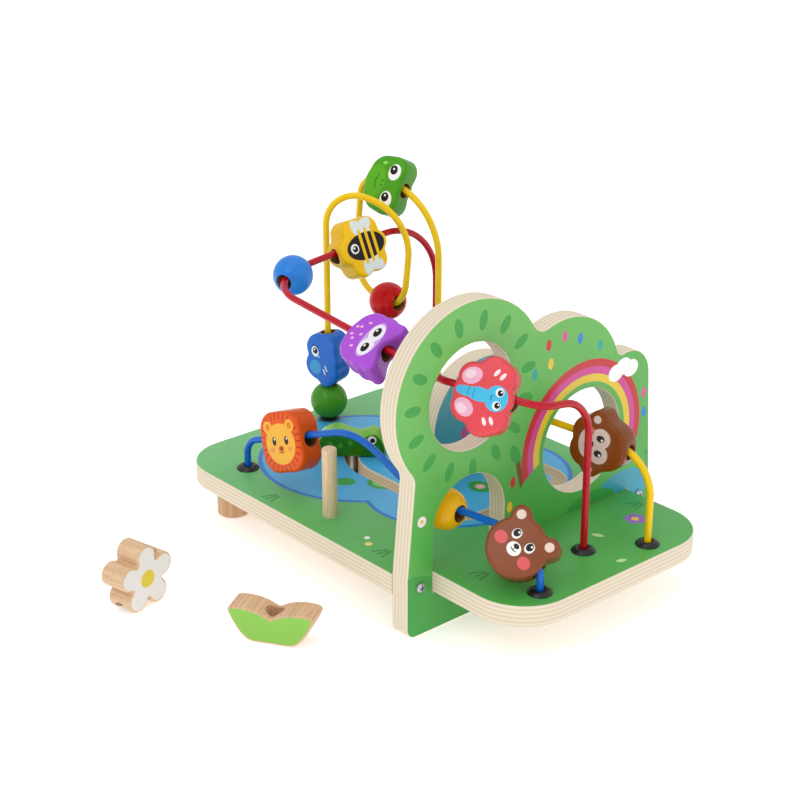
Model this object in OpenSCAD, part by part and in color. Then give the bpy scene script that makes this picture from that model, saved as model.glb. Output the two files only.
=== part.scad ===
// Bead maze on a plywood board: an upright panel with windows, four bent wires with beads,
// a curved track with a crocodile, and a peg with two loose stacking pieces.
// Frame: X runs along the board towards the tongue, Y across it, Z up from the floor.
// The origin lies on the floor under the middle of the upright panel.

/* [Board] */
// Length of the wide part behind the panel
deck_l = 196; // [185:1:215]
// Width of the wide part
deck_w = 186; // [180:1:200]
// Thickness of the plywood board
deck_t = 12; // [10:0.5:14]
// Height of the board's underside above the floor
deck_lift = 22.5; // [18:0.5:28]
// Radius of the board's free corners
deck_corner_r = 30; // [20:1:36]
// Reach of the tongue in front of the panel
tongue_l = 65; // [62:1:80]
// Width of the board's shoulder on each side of the tongue
shoulder_w = 18; // [16:0.5:20]

/* [Track] */
// Radius of the track's arc on its centre line
track_r = 42; // [38:1:44]
// Width of the track slot
track_w = 8; // [7:0.25:9]
// Radius of the track's two tight bends
track_bend_r = 15; // [10:1:18]
// Distance of the track's side run from the panel
track_side_gap = 19; // [15:1:22]
// Distance from the track's near run to its far run
track_span = 83; // [76:1:88]
// Length of the track's straight end on the far side
track_far_l = 12; // [6:1:16]

/* [Upright panel] */
// Thickness of the upright panel
panel_t = 12; // [10:0.5:14]
// Depth of the panel's waist on each side
waist_in = 5; // [3:0.5:7]
// Radius that rounds the waist under the large lobe
waist_r = 10; // [7:0.5:13]
// Radius of the panel's bottom corners
panel_corner_r = 6; // [3:0.5:9]
// Radius of the large lobe
big_lobe_r = 52; // [49:0.5:55]
// Height of the large lobe's centre
big_lobe_z = 126; // [122:1:130]
// Radius of the middle lobe
mid_lobe_r = 43.5; // [41:0.5:46]
// Height of the middle lobe's centre
mid_lobe_z = 108.5; // [105:0.5:112]
// Radius of the small lobe
small_lobe_r = 18; // [16:0.5:20]
// Height of the small lobe's centre
small_lobe_z = 102.5; // [100:0.5:106]
// Radius that rounds the notches between the lobes
notch_r = 9; // [6:0.5:12]
// Radius of the high window
high_window_r = 29; // [27:0.5:31]
// Radius of the low window
low_window_r = 30; // [28:0.5:31]
// Height of the low window's centre
low_window_z = 77; // [75:0.5:80]
// Width of the door
door_w = 51; // [48:1:54]
// Height of the door above the board
door_h = 47.5; // [45:0.5:50]

/* [Hill board] */
// Thickness of the hill board
hill_t = 12; // [10:0.5:14]
// Radius of the hill's round top
hill_r = 40; // [36:1:42]
// Height of the hill above the board
hill_h = 71; // [62:1:78]
// Distance of the hill board from the panel
hill_gap = 62; // [58:1:66]

/* [Feet and peg] */
// Diameter of the dowel feet
foot_d = 19; // [16:0.5:22]
// Diameter of the stacking peg
peg_d = 8.4; // [7:0.1:9]
// Height of the stacking peg above the board
peg_h = 41; // [34:1:50]
// Depth of the peg's blind hole
peg_sink = 9; // [7:0.5:9.5]
// Diameter of the peg's tenon in that hole
peg_tenon_d = 7; // [6:0.1:8]

/* [Screws] */
// Diameter of the screw shanks
screw_d = 3; // [2.5:0.1:3.5]
// Diameter of the screw heads
screw_head_d = 5.6; // [5:0.1:6]
// Height of the screw heads
screw_head_h = 1.8; // [1.4:0.1:2.4]
// Length of a screw that holds the panel
panel_screw_l = 32; // [26:1:36]
// Depth of a screw in the piece that it holds
screw_bite = 9; // [7:0.5:9.5]

/* [Wires] */
// Diameter of the wires
wire_d = 4; // [3.5:0.1:4.4]
// Rise of the tall yellow wire above the board
tall_rise = 152; // [145:1:160]
// Rise of the long red wire above the board
long_rise = 128.5; // [124:0.5:133]
// Rise of the low blue wire's crest above the board
low_rise = 50; // [47:1:53]
// Rise of the short yellow wire above the board
short_rise = 54.5; // [52:0.5:57]
// Depth of the wire sockets in the board
socket_depth = 9; // [7:0.5:9.5]
// Diameter of a grommet's flange
grommet_d = 13.4; // [12:0.1:15]
// Height of a grommet's dome
grommet_h = 2.4; // [1.8:0.1:3]
// Diameter of a grommet's barrel in the board
grommet_barrel_d = 8; // [7:0.1:9]

/* [Beads] */
// Diameter of the round beads
ball_d = 23; // [21:0.25:24]
// Thickness of the animal beads
bead_t = 15; // [13:0.5:17]
// Diameter of the bores
bore_d = 9; // [8.6:0.1:9.4]
// Size of the lion bead
lion_s = 36; // [33:0.5:38]
// Size of the frog bead
frog_s = 36; // [33:0.5:37]
// Size of the bee bead
bee_s = 35; // [32:0.5:37]
// Size of the owl bead
owl_s = 34; // [31:0.5:37]
// Size of the bird bead
bird_s = 35; // [32:0.5:37]
// Size of the butterfly bead
butterfly_s = 38; // [35:0.5:41]
// Size of the bear bead
bear_s = 33; // [30:0.5:36]
// Size of the monkey bead
monkey_s = 32; // [30:0.5:35]

/* [Crocodile] */
// Length of the crocodile
croc_l = 42; // [36:0.5:44]
// Height of the crocodile's back
croc_h = 17; // [14:0.5:20]
// Thickness of the crocodile
croc_t = 15; // [13:0.5:17]
// Diameter of the crocodile's pivot
pivot_d = 5; // [4:0.25:6]
// Depth of the pivot in the crocodile
pivot_l = 9; // [7:0.5:10]
// Diameter of the washer under the board
washer_d = 17; // [14:0.5:19]
// Thickness of the washer under the board
washer_t = 3; // [2:0.25:4]

/* [Stacking pieces] */
// Thickness of the flower and the leaf
stack_t = 16; // [14:0.5:18]
// Bore of the flower and the leaf
stack_bore_d = 10; // [9.2:0.1:11]
// Distance of the petals from the flower's middle
petal_reach = 12.7; // [12:0.1:13.5]
// Radius of a petal
petal_r = 6.8; // [6.4:0.1:7.4]
// Width of the leaf
leaf_w = 49; // [45:0.5:53]
// Height of the leaf's tips
leaf_h = 19.5; // [18:0.5:22]

/* [Hidden] */
$fn = 96;

// Running gap between pieces that move on each other
run_gap = 0.3;
// Fit gap between pieces that are fixed in each other
fit_gap = 0.1;
// Overrun of every cut past the face that it leaves
overrun = 2;
// Bite that keeps a rounding arc from only just touching its neighbour
blend_bite = 0.06;
// Lap of the track's straight runs into its bends
track_lap = 0.5;
// Sides of a wire's section, and the turn from ring to ring on its bends
wire_sides = 14;
ring_turn = 11;

deck_top = deck_lift + deck_t;
half_deck = deck_w / 2;
tongue_w = deck_w - 2 * shoulder_w;
waist_half_w = half_deck - waist_in;
half_panel = panel_t / 2;
deck_rear = -half_panel - deck_l;
tongue_end = half_panel + tongue_l;

// Small geometry helpers
function unit(v) = v / norm(v);
function square_to(v, axis) = unit(v - (v * axis) * axis);
function flat(p, z) = [p.x, p.y, z];

// Puts its children in the frame of an origin and three axes
module frame_at(origin, ex, ey, ez) {
    multmatrix([
        [ex.x, ey.x, ez.x, origin.x],
        [ex.y, ey.y, ez.y, origin.y],
        [ex.z, ey.z, ez.z, origin.z],
    ]) children();
}

// A place on the board from shares of its length and of its half width
function on_deck(shares) = [shares.x * deck_l, shares.y * half_deck];

// Wire feet on the board: shares of the wide part's length and half width
tall_near_foot = on_deck([-0.949, 0.124]);
tall_far_foot = on_deck([-0.684, 0.596]);
long_far_foot = on_deck([-0.786, 0.769]);
low_rear_foot = on_deck([-0.816, -0.763]);
short_rear_foot = on_deck([-0.0704, 0.158]);

// Wire feet on the tongue: shares of its reach and of its half width
function on_tongue(shares) = [half_panel + shares.x * tongue_l, shares.y * tongue_w / 2];
long_near_foot = on_tongue([0.541, 0.014]);
low_front_foot = on_tongue([0.8, -0.653]);
short_front_foot = on_tongue([0.808, 0.433]);

// Panel places across the board, as shares of its half width
big_lobe_y = -0.527 * half_deck;
mid_lobe_y = 0.21 * half_deck;
small_lobe_y = waist_half_w - small_lobe_r;
low_window_y = 0.376 * half_deck;
door_y = -tongue_w / 2 + door_w / 2;

// A wire is a route of corner points with a bend radius at each inner corner
function heading(w, i) = unit(w[0][i + 1] - w[0][i]);
function turn(w, i) = acos(heading(w, i - 1) * heading(w, i));
function inner(w, i) = i > 0 && i < len(w[0]) - 1;
function trim(w, i) = inner(w, i) ? w[1][i] * tan(turn(w, i) / 2) : 0;
function run_start(w, i) = w[0][i] + heading(w, i) * trim(w, i);
function run_end(w, i) = w[0][i + 1] - heading(w, i) * trim(w, i + 1);
function bend_centre(w, i) =
    w[0][i] + unit(heading(w, i) - heading(w, i - 1)) * w[1][i] / cos(turn(w, i) / 2);
function bend_axis(w, i) = unit(cross(heading(w, i - 1), heading(w, i)));

// A spot on a wire: point, direction, direction of the bend's centre, bend radius or zero
function run_spot(w, i, share) =
    [run_start(w, i) + share * (run_end(w, i) - run_start(w, i)), heading(w, i), [0, 0, 0], 0];
function bend_spot(w, i, share) =
    let (
        r = w[1][i],
        c = bend_centre(w, i),
        out = unit(run_end(w, i - 1) - c),
        along = heading(w, i - 1),
        a = share * turn(w, i),
        now = out * cos(a) + along * sin(a)
    )
    [c + r * now, along * cos(a) - out * sin(a), -now, r];

// A bead hangs on its wire: half the bend's rise in the bore, and the rest of the play downwards
play = (bore_d - wire_d) / 2 - run_gap;
function sagitta(r, half) = r - sqrt(r * r - half * half);
function slant(r, half) = wire_d / 2 * (r / sqrt(r * r - half * half) - 1);
function hung(spot, half) =
    let (rise = spot[3] == 0 ? 0 : sagitta(spot[3], half) + slant(spot[3], half))
    spot[0] + spot[2] * rise / 2 + square_to([0, 0, -1], spot[1]) * (play - rise / 2);

// Sockets: the wires' ends stand on the bottom of blind holes
socket_z = deck_top - socket_depth;

// Tall yellow wire: shares of its foot distance along and beside it, and of its rise
tall_way = flat(tall_far_foot, 0) - flat(tall_near_foot, 0);
tall_side = cross([0, 0, 1], tall_way);
tall_shares = [[0, 0, 0.997], [0.775, -0.06, 0.89], [0.69, -0.06, 0.46], [0.176, 0.42, 0.552],
    [0.25, 0.42, 0.98], [1, 0, 0.975]];
tall_bend_shares = [0.125, 0.224, 0.118, 0.145, 0.08, 0.276];
tall_route = concat(
    [flat(tall_near_foot, socket_z)],
    [for (s = tall_shares)
        flat(tall_near_foot, deck_top) + s.x * tall_way + s.y * tall_side + [0, 0, s.z * tall_rise]],
    [flat(tall_far_foot, socket_z)]
);
tall = [tall_route, concat([0], tall_bend_shares * tall_rise)];

// Long red wire: it runs across the board, round a corner, through the high window and down again
long_run_z = big_lobe_z + 0.34 * high_window_r;
long_bend_shares = [0.296, 0.233, 0.093, 0.109, 0.19];
long_route = [
    flat(long_far_foot, socket_z),
    flat(long_far_foot, deck_top + long_rise),
    [long_far_foot.x, big_lobe_y - 0.38 * high_window_r, deck_top + 0.887 * long_rise],
    [-0.17 * panel_t, big_lobe_y - 0.43 * high_window_r, long_run_z],
    [half_panel + 0.585 * tongue_l, big_lobe_y + 0.41 * high_window_r, long_run_z - 0.24 * high_window_r],
    flat(long_near_foot, long_run_z - 0.495 * high_window_r),
    flat(long_near_foot, socket_z),
];
long = [long_route, concat([0], long_bend_shares * long_rise)];

// Low blue wire: it climbs, dips, and passes through the door in one upright plane
low_way = low_front_foot - low_rear_foot;
low_shares = [[0, 0.35], [0.404, 1.01], [0.615, 0.55], [0.893, 0.58], [1, 0.27]];
low_bend_shares = [0.24, 0.8, 0.7, 0.48, 0.18];
low_route = concat(
    [flat(low_rear_foot, socket_z)],
    [for (s = low_shares) flat(low_rear_foot + s.x * low_way, deck_top + s.y * low_rise)],
    [flat(low_front_foot, socket_z)]
);
low = [low_route, concat([0], low_bend_shares * low_rise)];

// Short yellow wire: it passes through the low window
short_bend_shares = [0.48, 0.17];
short_route = [
    flat(short_front_foot, socket_z),
    flat(short_front_foot, deck_top + 0.945 * short_rise),
    flat(short_rear_foot, deck_top + 1.055 * short_rise),
    flat(short_rear_foot, socket_z),
];
short = [short_route, concat([0], short_bend_shares * short_rise)];

// Balls that stand on a grommet's dome: the bore's rim rests on the dome
bore_r = bore_d / 2;
ball_half = sqrt(ball_d * ball_d / 4 - bore_r * bore_r);
dome_r = (grommet_d * grommet_d / 4 + grommet_h * grommet_h) / (2 * grommet_h);
dome_seat_z = deck_top + grommet_h - dome_r + sqrt(dome_r * dome_r - bore_r * bore_r) + run_gap;
green_ball_at = flat(tall_near_foot, dome_seat_z + ball_half);
crimson_ball_at = flat(long_far_foot, dome_seat_z + ball_half);

// Outlines of the animal beads: lobes as shares of the bead's size, [along the bore, across, radius]
lion_lobe_shares = [[0, 0, 0.49], [0.19, 0.19, 0.3], [-0.19, 0.19, 0.3], [0.19, -0.19, 0.3],
    [-0.19, -0.19, 0.3]];
frog_lobe_shares = [[-0.06, 0, 0.33], [-0.04, 0.16, 0.31], [-0.04, -0.16, 0.31], [0.12, 0.27, 0.23],
    [0.12, -0.27, 0.23], [0.1, 0, 0.24]];
bee_lobe_shares = [[0, 0, 0.34], [0.29, 0, 0.24], [-0.32, 0, 0.17], [0.13, 0.28, 0.22],
    [-0.17, 0.26, 0.22], [0.13, -0.28, 0.22], [-0.17, -0.26, 0.22]];
owl_lobe_shares = [[-0.04, 0, 0.44], [0.12, 0.23, 0.26], [0.12, -0.23, 0.26], [-0.12, 0.14, 0.33],
    [-0.12, -0.14, 0.33], [0.37, 0.36, 0.12], [0.37, -0.36, 0.12]];
bird_lobe_shares = [[0.2, 0.07, 0.27], [0.28, -0.1, 0.22], [0.02, -0.06, 0.29], [-0.12, 0.09, 0.27],
    [-0.2, -0.1, 0.24], [-0.34, -0.06, 0.16]];
butterfly_lobe_shares = [[0, 0, 0.2], [0.25, 0, 0.17], [-0.23, 0, 0.2], [0.16, 0.27, 0.22],
    [0.04, 0.36, 0.19], [0.16, -0.27, 0.22], [0.04, -0.36, 0.19], [-0.2, 0.2, 0.21], [-0.2, -0.2, 0.21]];
bear_lobe_shares = [[0, -0.03, 0.49], [0.34, 0.35, 0.17], [-0.34, 0.35, 0.17], [0.1, -0.05, 0.4],
    [-0.1, -0.05, 0.4]];
monkey_lobe_shares = [[0, 0, 0.46], [0.06, 0.42, 0.17], [0.06, -0.42, 0.17], [-0.12, 0, 0.42],
    [0.2, 0.15, 0.3], [0.2, -0.15, 0.3]];
// Mouth of the notch between the owl's feet: place along the bore and radius
owl_notch_shares = [0.54, 0.24];

// Where each bead is on its wire, and how far its bore reaches each way
bird_half = 0.5 * bird_s;
bird_at = green_ball_at + [0, 0, ball_half + run_gap + bird_half];
red_ball_spot = bend_spot(tall, 3, 0.78);
frog_spot = bend_spot(tall, 6, 0.07);
frog_half = 0.36 * frog_s;
bee_spot = run_spot(long, 1, 0.33);
blue_ball_spot = bend_spot(long, 2, 0.24);
owl_spot = run_spot(long, 2, 0.57);
butterfly_spot = run_spot(long, 3, 0.5);
lion_spot = run_spot(low, 1, 0.44);
yellow_ball_spot = run_spot(low, 3, 0.25);
bear_spot = run_spot(low, 4, 0.32);
monkey_spot = run_spot(short, 1, 0.14);

// Directions that the beads' faces look in, turned square to their wires
bird_look = [0.24, -0.97, 0];
frog_look = [0.2, -0.9, 0.4];
bee_look = [0.85, 0, 0.35];
owl_look = [0, -0.6, 0.8];
butterfly_look = [0.65, -0.65, 0.4];
lion_look = [0, -1, 0.12];
bear_look = [0.45, -0.62, 0.62];
monkey_look = [0.2, -0.95, 0.15];
ball_look = [0, -1, 0];

// Track on the board
track_at = on_deck([-0.551, 0.204]);
track_from = 226;
track_to = 270;
track_near_y = track_at.y - track_r;
track_side_x = -half_panel - track_side_gap;
track_far_y = track_near_y + track_span;
croc_at = track_at + track_r * [cos(track_from), sin(track_from)];
croc_turn = 46;
pin_d = track_w - 2 * run_gap;

// Peg, feet and hill board on the wide part
peg_at = on_deck([-0.408, -0.795]);
near_foot_at = on_deck([-0.898, -0.763]);
far_foot_at = on_deck([-0.898, 0.763]);
hill_y = 0.35 * half_deck;
hill_x = -half_panel - hill_gap - hill_t / 2;
hill_screw_shares = [-0.55, 0.55];
panel_screw_y = (half_deck + tongue_w / 2) / 2;
panel_screw_z = deck_lift + deck_t / 2;
foot_sink = deck_lift - screw_bite;

// Loose pieces on the floor, as shares of the board's length and half width
flower_at = on_deck([-0.616, -1.885]);
flower_turn = 12;
flower_lean = 36;
leaf_at = on_deck([-0.216, -1.525]);
leaf_turn = 32;
petals = 5;

// Rounds a right-angled outside corner of a plate: the waste that comes off
module corner_waste(r) {
    difference() {
        square(r + overrun);
        circle(r);
    }
}

// Board outline: wide part and tongue, with their four free corners rounded
module deck_outline() {
    difference() {
        union() {
            translate([deck_rear, -half_deck]) square([deck_l, deck_w]);
            translate([-panel_t, -tongue_w / 2]) square([tongue_end + panel_t, tongue_w]);
        }
        for (side = [0, 1]) mirror([0, side, 0]) {
            translate([deck_rear + deck_corner_r, half_deck - deck_corner_r])
                rotate(90) corner_waste(deck_corner_r);
            translate([tongue_end - deck_corner_r, tongue_w / 2 - deck_corner_r])
                corner_waste(deck_corner_r);
        }
    }
}

// A straight piece of the track between two points, which laps into the bends at its ends
module track_run(a, b, d, h) {
    way = unit(b - a);
    width = d - 2 * blend_bite;
    translate(a) rotate(atan2(way.y, way.x)) translate([-track_lap, -width / 2, 0])
        cube([norm(b - a) + 2 * track_lap, width, h]);
}

// A bend of the track about a centre, from one angle to another
module track_bend(centre, r, from, to, d, h) {
    translate(centre) rotate(from) rotate_extrude(angle = to - from) translate([r - d / 2, 0]) square([d, h]);
}

// The track: an arc, a near run, a side run and a far end
module track_cut(d, h) {
    near_end = [track_side_x - track_bend_r, track_near_y];
    side_start = [track_side_x, track_near_y + track_bend_r];
    side_end = [track_side_x, track_far_y - track_bend_r];
    far_start = [track_side_x - track_bend_r, track_far_y];
    far_end = far_start - [track_far_l, 0];
    for (p = [croc_at, far_end]) translate(p) cylinder(d = d + 2 * blend_bite, h = h);
    track_bend(track_at, track_r, track_from, track_to, d, h);
    track_run([track_at.x, track_near_y], near_end, d, h);
    track_bend([near_end.x, side_start.y], track_bend_r, 270, 360, d, h);
    track_run(side_start, side_end, d, h);
    track_bend([near_end.x, side_end.y], track_bend_r, 0, 90, d, h);
    track_run(far_start, far_end, d, h);
}

module deck_board() {
    color("mediumseagreen") difference() {
        translate([0, 0, deck_lift]) linear_extrude(deck_t) deck_outline();
        translate([0, 0, deck_lift - overrun]) track_cut(track_w, deck_t + 2 * overrun);
        for (p = [tall_near_foot, tall_far_foot, long_far_foot, long_near_foot, low_rear_foot,
                low_front_foot, short_front_foot, short_rear_foot])
            translate(flat(p, socket_z)) cylinder(d = grommet_barrel_d + 2 * fit_gap, h = socket_depth + overrun);
        translate(flat(peg_at, deck_top - peg_sink)) cylinder(d = peg_tenon_d + 2 * fit_gap, h = peg_sink + overrun);
        for (p = [near_foot_at, far_foot_at])
            translate(flat(p, deck_lift - overrun)) cylinder(d = screw_d + 2 * fit_gap, h = screw_bite + overrun);
        for (s = hill_screw_shares) translate([hill_x, hill_y + s * hill_r, deck_lift - overrun]) {
            cylinder(d = screw_d + 2 * fit_gap, h = deck_t + 2 * overrun);
            cylinder(d = screw_head_d + 2 * fit_gap, h = screw_head_h + overrun);
        }
        for (side = [-1, 1]) translate([-half_panel + overrun, side * panel_screw_y, panel_screw_z])
            rotate([0, -90, 0]) cylinder(d = screw_d + 2 * fit_gap, h = panel_screw_l - panel_t + overrun);
    }
}

// Centre of an arc that rounds the notch between two lobes
function notch_centre(a, ra, b, rb, r) =
    let (
        da = ra + r - blend_bite,
        db = rb + r - blend_bite,
        d = norm(b - a),
        along = (d * d + da * da - db * db) / (2 * d),
        up = sqrt(da * da - along * along),
        e = unit(b - a)
    )
    a + along * e + up * [-e.y, e.x];

// Fills the notch between two lobes and rounds it
module notch_fill(a, ra, b, rb, r) {
    c = notch_centre(a, ra, b, rb, r);
    difference() {
        polygon([a, b, c]);
        translate(c) circle(r);
    }
}

// Panel outline, seen along X: Y across and Z up
module panel_outline() {
    big = [big_lobe_y, big_lobe_z];
    mid = [mid_lobe_y, mid_lobe_z];
    small = [small_lobe_y, small_lobe_z];
    waist_out = waist_half_w + waist_r + big_lobe_y;
    waist_down = sqrt(pow(big_lobe_r + waist_r - blend_bite, 2) - waist_out * waist_out);
    waist = big - [waist_out, waist_down];
    translate(big) circle(big_lobe_r);
    translate(mid) circle(mid_lobe_r);
    translate(small) circle(small_lobe_r);
    notch_fill(big, big_lobe_r, mid, mid_lobe_r, notch_r);
    notch_fill(mid, mid_lobe_r, small, small_lobe_r, notch_r / 2);
    difference() {
        polygon([big, waist, waist + [waist_r + blend_bite, 0]]);
        translate(waist) circle(waist_r);
    }
    polygon([
        [-half_deck, panel_corner_r], [-half_deck + panel_corner_r, 0],
        [half_deck - panel_corner_r, 0], [half_deck, panel_corner_r], [half_deck, deck_top],
        [small_lobe_y + small_lobe_r, small_lobe_z], small, mid, big, [-waist_half_w, waist.y],
        [-half_deck, deck_top],
    ]);
    for (side = [-1, 1])
        translate([side * (half_deck - panel_corner_r), panel_corner_r]) circle(panel_corner_r);
}

// Windows, door and slot of the panel, seen along X
module panel_openings() {
    translate([big_lobe_y, big_lobe_z]) circle(high_window_r);
    translate([low_window_y, low_window_z]) circle(low_window_r);
    translate([door_y, deck_top + door_h - door_w / 2]) circle(door_w / 2);
    translate([door_y - door_w / 2, deck_top - overrun]) square([door_w, door_h - door_w / 2 + overrun]);
    translate([-tongue_w / 2 - fit_gap, deck_lift - fit_gap])
        square([tongue_w + 2 * fit_gap, deck_t + 2 * fit_gap]);
}

module tree_panel() {
    color("limegreen") difference() {
        rotate([90, 0, 90]) translate([0, 0, -half_panel]) linear_extrude(panel_t) difference() {
            panel_outline();
            panel_openings();
        }
        for (side = [-1, 1]) translate([-half_panel - overrun, side * panel_screw_y, panel_screw_z])
            rotate([0, 90, 0]) cylinder(d = screw_d + 2 * fit_gap, h = panel_t + 2 * overrun);
    }
}

module hill_panel() {
    color("steelblue") difference() {
        translate([hill_x, hill_y, deck_top]) rotate([90, 0, 90])
            translate([0, 0, -hill_t / 2]) linear_extrude(hill_t) difference() {
                union() {
                    translate([0, hill_h - hill_r]) circle(hill_r);
                    translate([-hill_r, 0]) square([2 * hill_r, hill_h - hill_r]);
                }
                translate([-2 * hill_r, -2 * hill_r]) square([4 * hill_r, 2 * hill_r]);
            }
        for (s = hill_screw_shares) translate([hill_x, hill_y + s * hill_r, deck_top - overrun])
            cylinder(d = screw_d + 2 * fit_gap, h = screw_bite + overrun);
    }
}

// A dowel foot with a counterbored hole for its screw
module dowel_foot(at) {
    color("burlywood") translate(flat(at, 0)) difference() {
        cylinder(d = foot_d, h = deck_lift);
        translate([0, 0, -overrun]) cylinder(d = screw_d + 2 * fit_gap, h = deck_lift + 2 * overrun);
        translate([0, 0, -overrun]) cylinder(d = screw_head_d + 2 * fit_gap, h = foot_sink + overrun);
    }
}

module stacking_peg() {
    color("burlywood") translate(flat(peg_at, deck_top)) {
        translate([0, 0, -peg_sink]) cylinder(d = peg_tenon_d, h = peg_sink + peg_h / 2);
        cylinder(d = peg_d, h = peg_h);
    }
}

// A screw along Z with its head below the origin and a cross recess in the head
module screw(length) {
    slot = screw_head_d / 5;
    difference() {
        union() {
            translate([0, 0, -screw_head_h]) cylinder(d = screw_head_d, h = screw_head_h);
            cylinder(d = screw_d, h = length);
        }
        for (a = [0, 90]) rotate(a)
            translate([-screw_head_d * 0.3, -slot / 2, -screw_head_h - overrun])
                cube([screw_head_d * 0.6, slot, overrun + screw_head_h / 2]);
    }
}

module panel_screws() {
    color("silver") for (side = [-1, 1]) translate([half_panel, side * panel_screw_y, panel_screw_z])
        rotate([0, -90, 0]) screw(panel_screw_l);
}

module foot_screws() {
    color("silver") for (p = [near_foot_at, far_foot_at])
        translate(flat(p, foot_sink)) screw(deck_lift - foot_sink + screw_bite);
}

module hill_screws() {
    color("silver") for (s = hill_screw_shares)
        translate([hill_x, hill_y + s * hill_r, deck_lift + screw_head_h])
            screw(deck_t - screw_head_h + screw_bite);
}

// Rings of a bent wire: a point and a direction at each end, and steps round each bend
function rings(w) =
    let (last = len(w[0]) - 1)
    [
        [w[0][0], heading(w, 0)],
        for (i = [1 : last - 1])
            let (steps = ceil(turn(w, i) / ring_turn))
            for (k = [0 : steps]) let (spot = bend_spot(w, i, k / steps)) [spot[0], spot[1]],
        [w[0][last], heading(w, last - 1)],
    ];

// Carries a side direction from ring to ring without twist
function carried(path, side, i) =
    i == len(path) ? [] : let (now = square_to(side, path[i][1])) concat([now], carried(path, now, i + 1));

// A bent wire: a polygon section carried along its rings, with flat ends
module bent_wire(w) {
    path = rings(w);
    sides = carried(path, [1, 1, 0], 0);
    n = len(path);
    m = wire_sides;
    points = [
        for (i = [0 : n - 1]) for (k = [0 : m - 1])
            path[i][0] + wire_d / 2 * (sides[i] * cos(k * 360 / m) + cross(path[i][1], sides[i]) * sin(k * 360 / m))
    ];
    faces = concat(
        [[for (k = [0 : m - 1]) k]],
        [for (i = [0 : n - 2]) for (k = [0 : m - 1]) [i * m + (k + 1) % m, i * m + k, (i + 1) * m + k]],
        [for (i = [0 : n - 2]) for (k = [0 : m - 1])
            [i * m + (k + 1) % m, (i + 1) * m + k, (i + 1) * m + (k + 1) % m]],
        [[for (k = [m - 1 : -1 : 0]) (n - 1) * m + k]]
    );
    polyhedron(points, faces);
}

module tall_wire() {
    color("gold") bent_wire(tall);
}

module long_wire() {
    color("crimson") bent_wire(long);
}

module low_wire() {
    color("royalblue") bent_wire(low);
}

module short_wire() {
    color("gold") bent_wire(short);
}

// A domed flange on the board with a barrel in the wire's socket
module grommet(at) {
    color("black") translate(flat(at, deck_top)) difference() {
        union() {
            intersection() {
                translate([0, 0, grommet_h - dome_r]) sphere(dome_r);
                cylinder(d = grommet_d, h = grommet_h);
            }
            translate([0, 0, -socket_depth]) cylinder(d = grommet_barrel_d, h = socket_depth);
        }
        translate([0, 0, -socket_depth - overrun])
            cylinder(d = wire_d + 2 * fit_gap, h = socket_depth + grommet_h + 2 * overrun);
    }
}

// Puts a bead on its wire: bore along the wire, face towards a direction
module bead_at(centre, along, look) {
    ez = square_to(look, along);
    frame_at(centre, along, cross(ez, along), ez) children();
}

module round_bead() {
    rotate([0, 90, 0]) difference() {
        sphere(d = ball_d);
        cylinder(d = bore_d, h = ball_d + 2 * overrun, center = true);
    }
}

// A thick block of round lobes with a bore along X
module lobed_bead(shares, size) {
    difference() {
        linear_extrude(bead_t, center = true)
            for (s = shares) translate([s.x * size, s.y * size]) circle(s.z * size);
        rotate([0, 90, 0]) cylinder(d = bore_d, h = 2 * size, center = true);
    }
}

module ball_on(spot) {
    bead_at(hung(spot, ball_half), spot[1], ball_look) round_bead();
}

module animal_on(spot, half, look, shares, size) {
    bead_at(hung(spot, half), spot[1], look) lobed_bead(shares, size);
}

module green_ball() {
    color("forestgreen") bead_at(green_ball_at, [0, 0, 1], ball_look) round_bead();
}

module crimson_ball() {
    color("firebrick") bead_at(crimson_ball_at, [0, 0, 1], ball_look) round_bead();
}

module red_ball() {
    color("red") ball_on(red_ball_spot);
}

module blue_ball() {
    color("dodgerblue") ball_on(blue_ball_spot);
}

module yellow_ball() {
    color("orange") ball_on(yellow_ball_spot);
}

module bird_bead() {
    color("royalblue") bead_at(bird_at, [0, 0, 1], bird_look) lobed_bead(bird_lobe_shares, bird_s);
}

module frog_bead() {
    color("yellowgreen") animal_on(frog_spot, frog_half, frog_look, frog_lobe_shares, frog_s);
}

module bee_bead() {
    color("gold") animal_on(bee_spot, 0, bee_look, bee_lobe_shares, bee_s);
}

module owl_bead() {
    color("mediumorchid") difference() {
        animal_on(owl_spot, 0, owl_look, owl_lobe_shares, owl_s);
        bead_at(hung(owl_spot, 0), owl_spot[1], owl_look) translate([owl_notch_shares.x * owl_s, 0, 0])
            cylinder(r = owl_notch_shares.y * owl_s, h = bead_t + 2 * overrun, center = true);
    }
}

module butterfly_bead() {
    color("salmon") animal_on(butterfly_spot, 0, butterfly_look, butterfly_lobe_shares, butterfly_s);
}

module lion_bead() {
    color("darkorange") animal_on(lion_spot, 0, lion_look, lion_lobe_shares, lion_s);
}

module bear_bead() {
    color("sienna") animal_on(bear_spot, 0, bear_look, bear_lobe_shares, bear_s);
}

module monkey_bead() {
    color("saddlebrown") animal_on(monkey_spot, 0, monkey_look, monkey_lobe_shares, monkey_s);
}

// Stem that runs in the track, with a thinner pivot on top for the crocodile
module track_pin() {
    color("burlywood") difference() {
        union() {
            translate(flat(croc_at, deck_lift - run_gap)) cylinder(d = pin_d, h = deck_t + run_gap);
            translate(flat(croc_at, deck_top)) cylinder(d = pivot_d, h = pivot_l);
        }
        translate(flat(croc_at, deck_lift - overrun)) cylinder(d = screw_d + 2 * fit_gap, h = screw_bite + overrun);
    }
}

module track_washer() {
    color("dimgray") translate(flat(croc_at, deck_lift - run_gap - washer_t)) difference() {
        cylinder(d = washer_d, h = washer_t);
        translate([0, 0, -overrun]) cylinder(d = screw_d + 2 * fit_gap, h = washer_t + 2 * overrun);
    }
}

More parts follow.
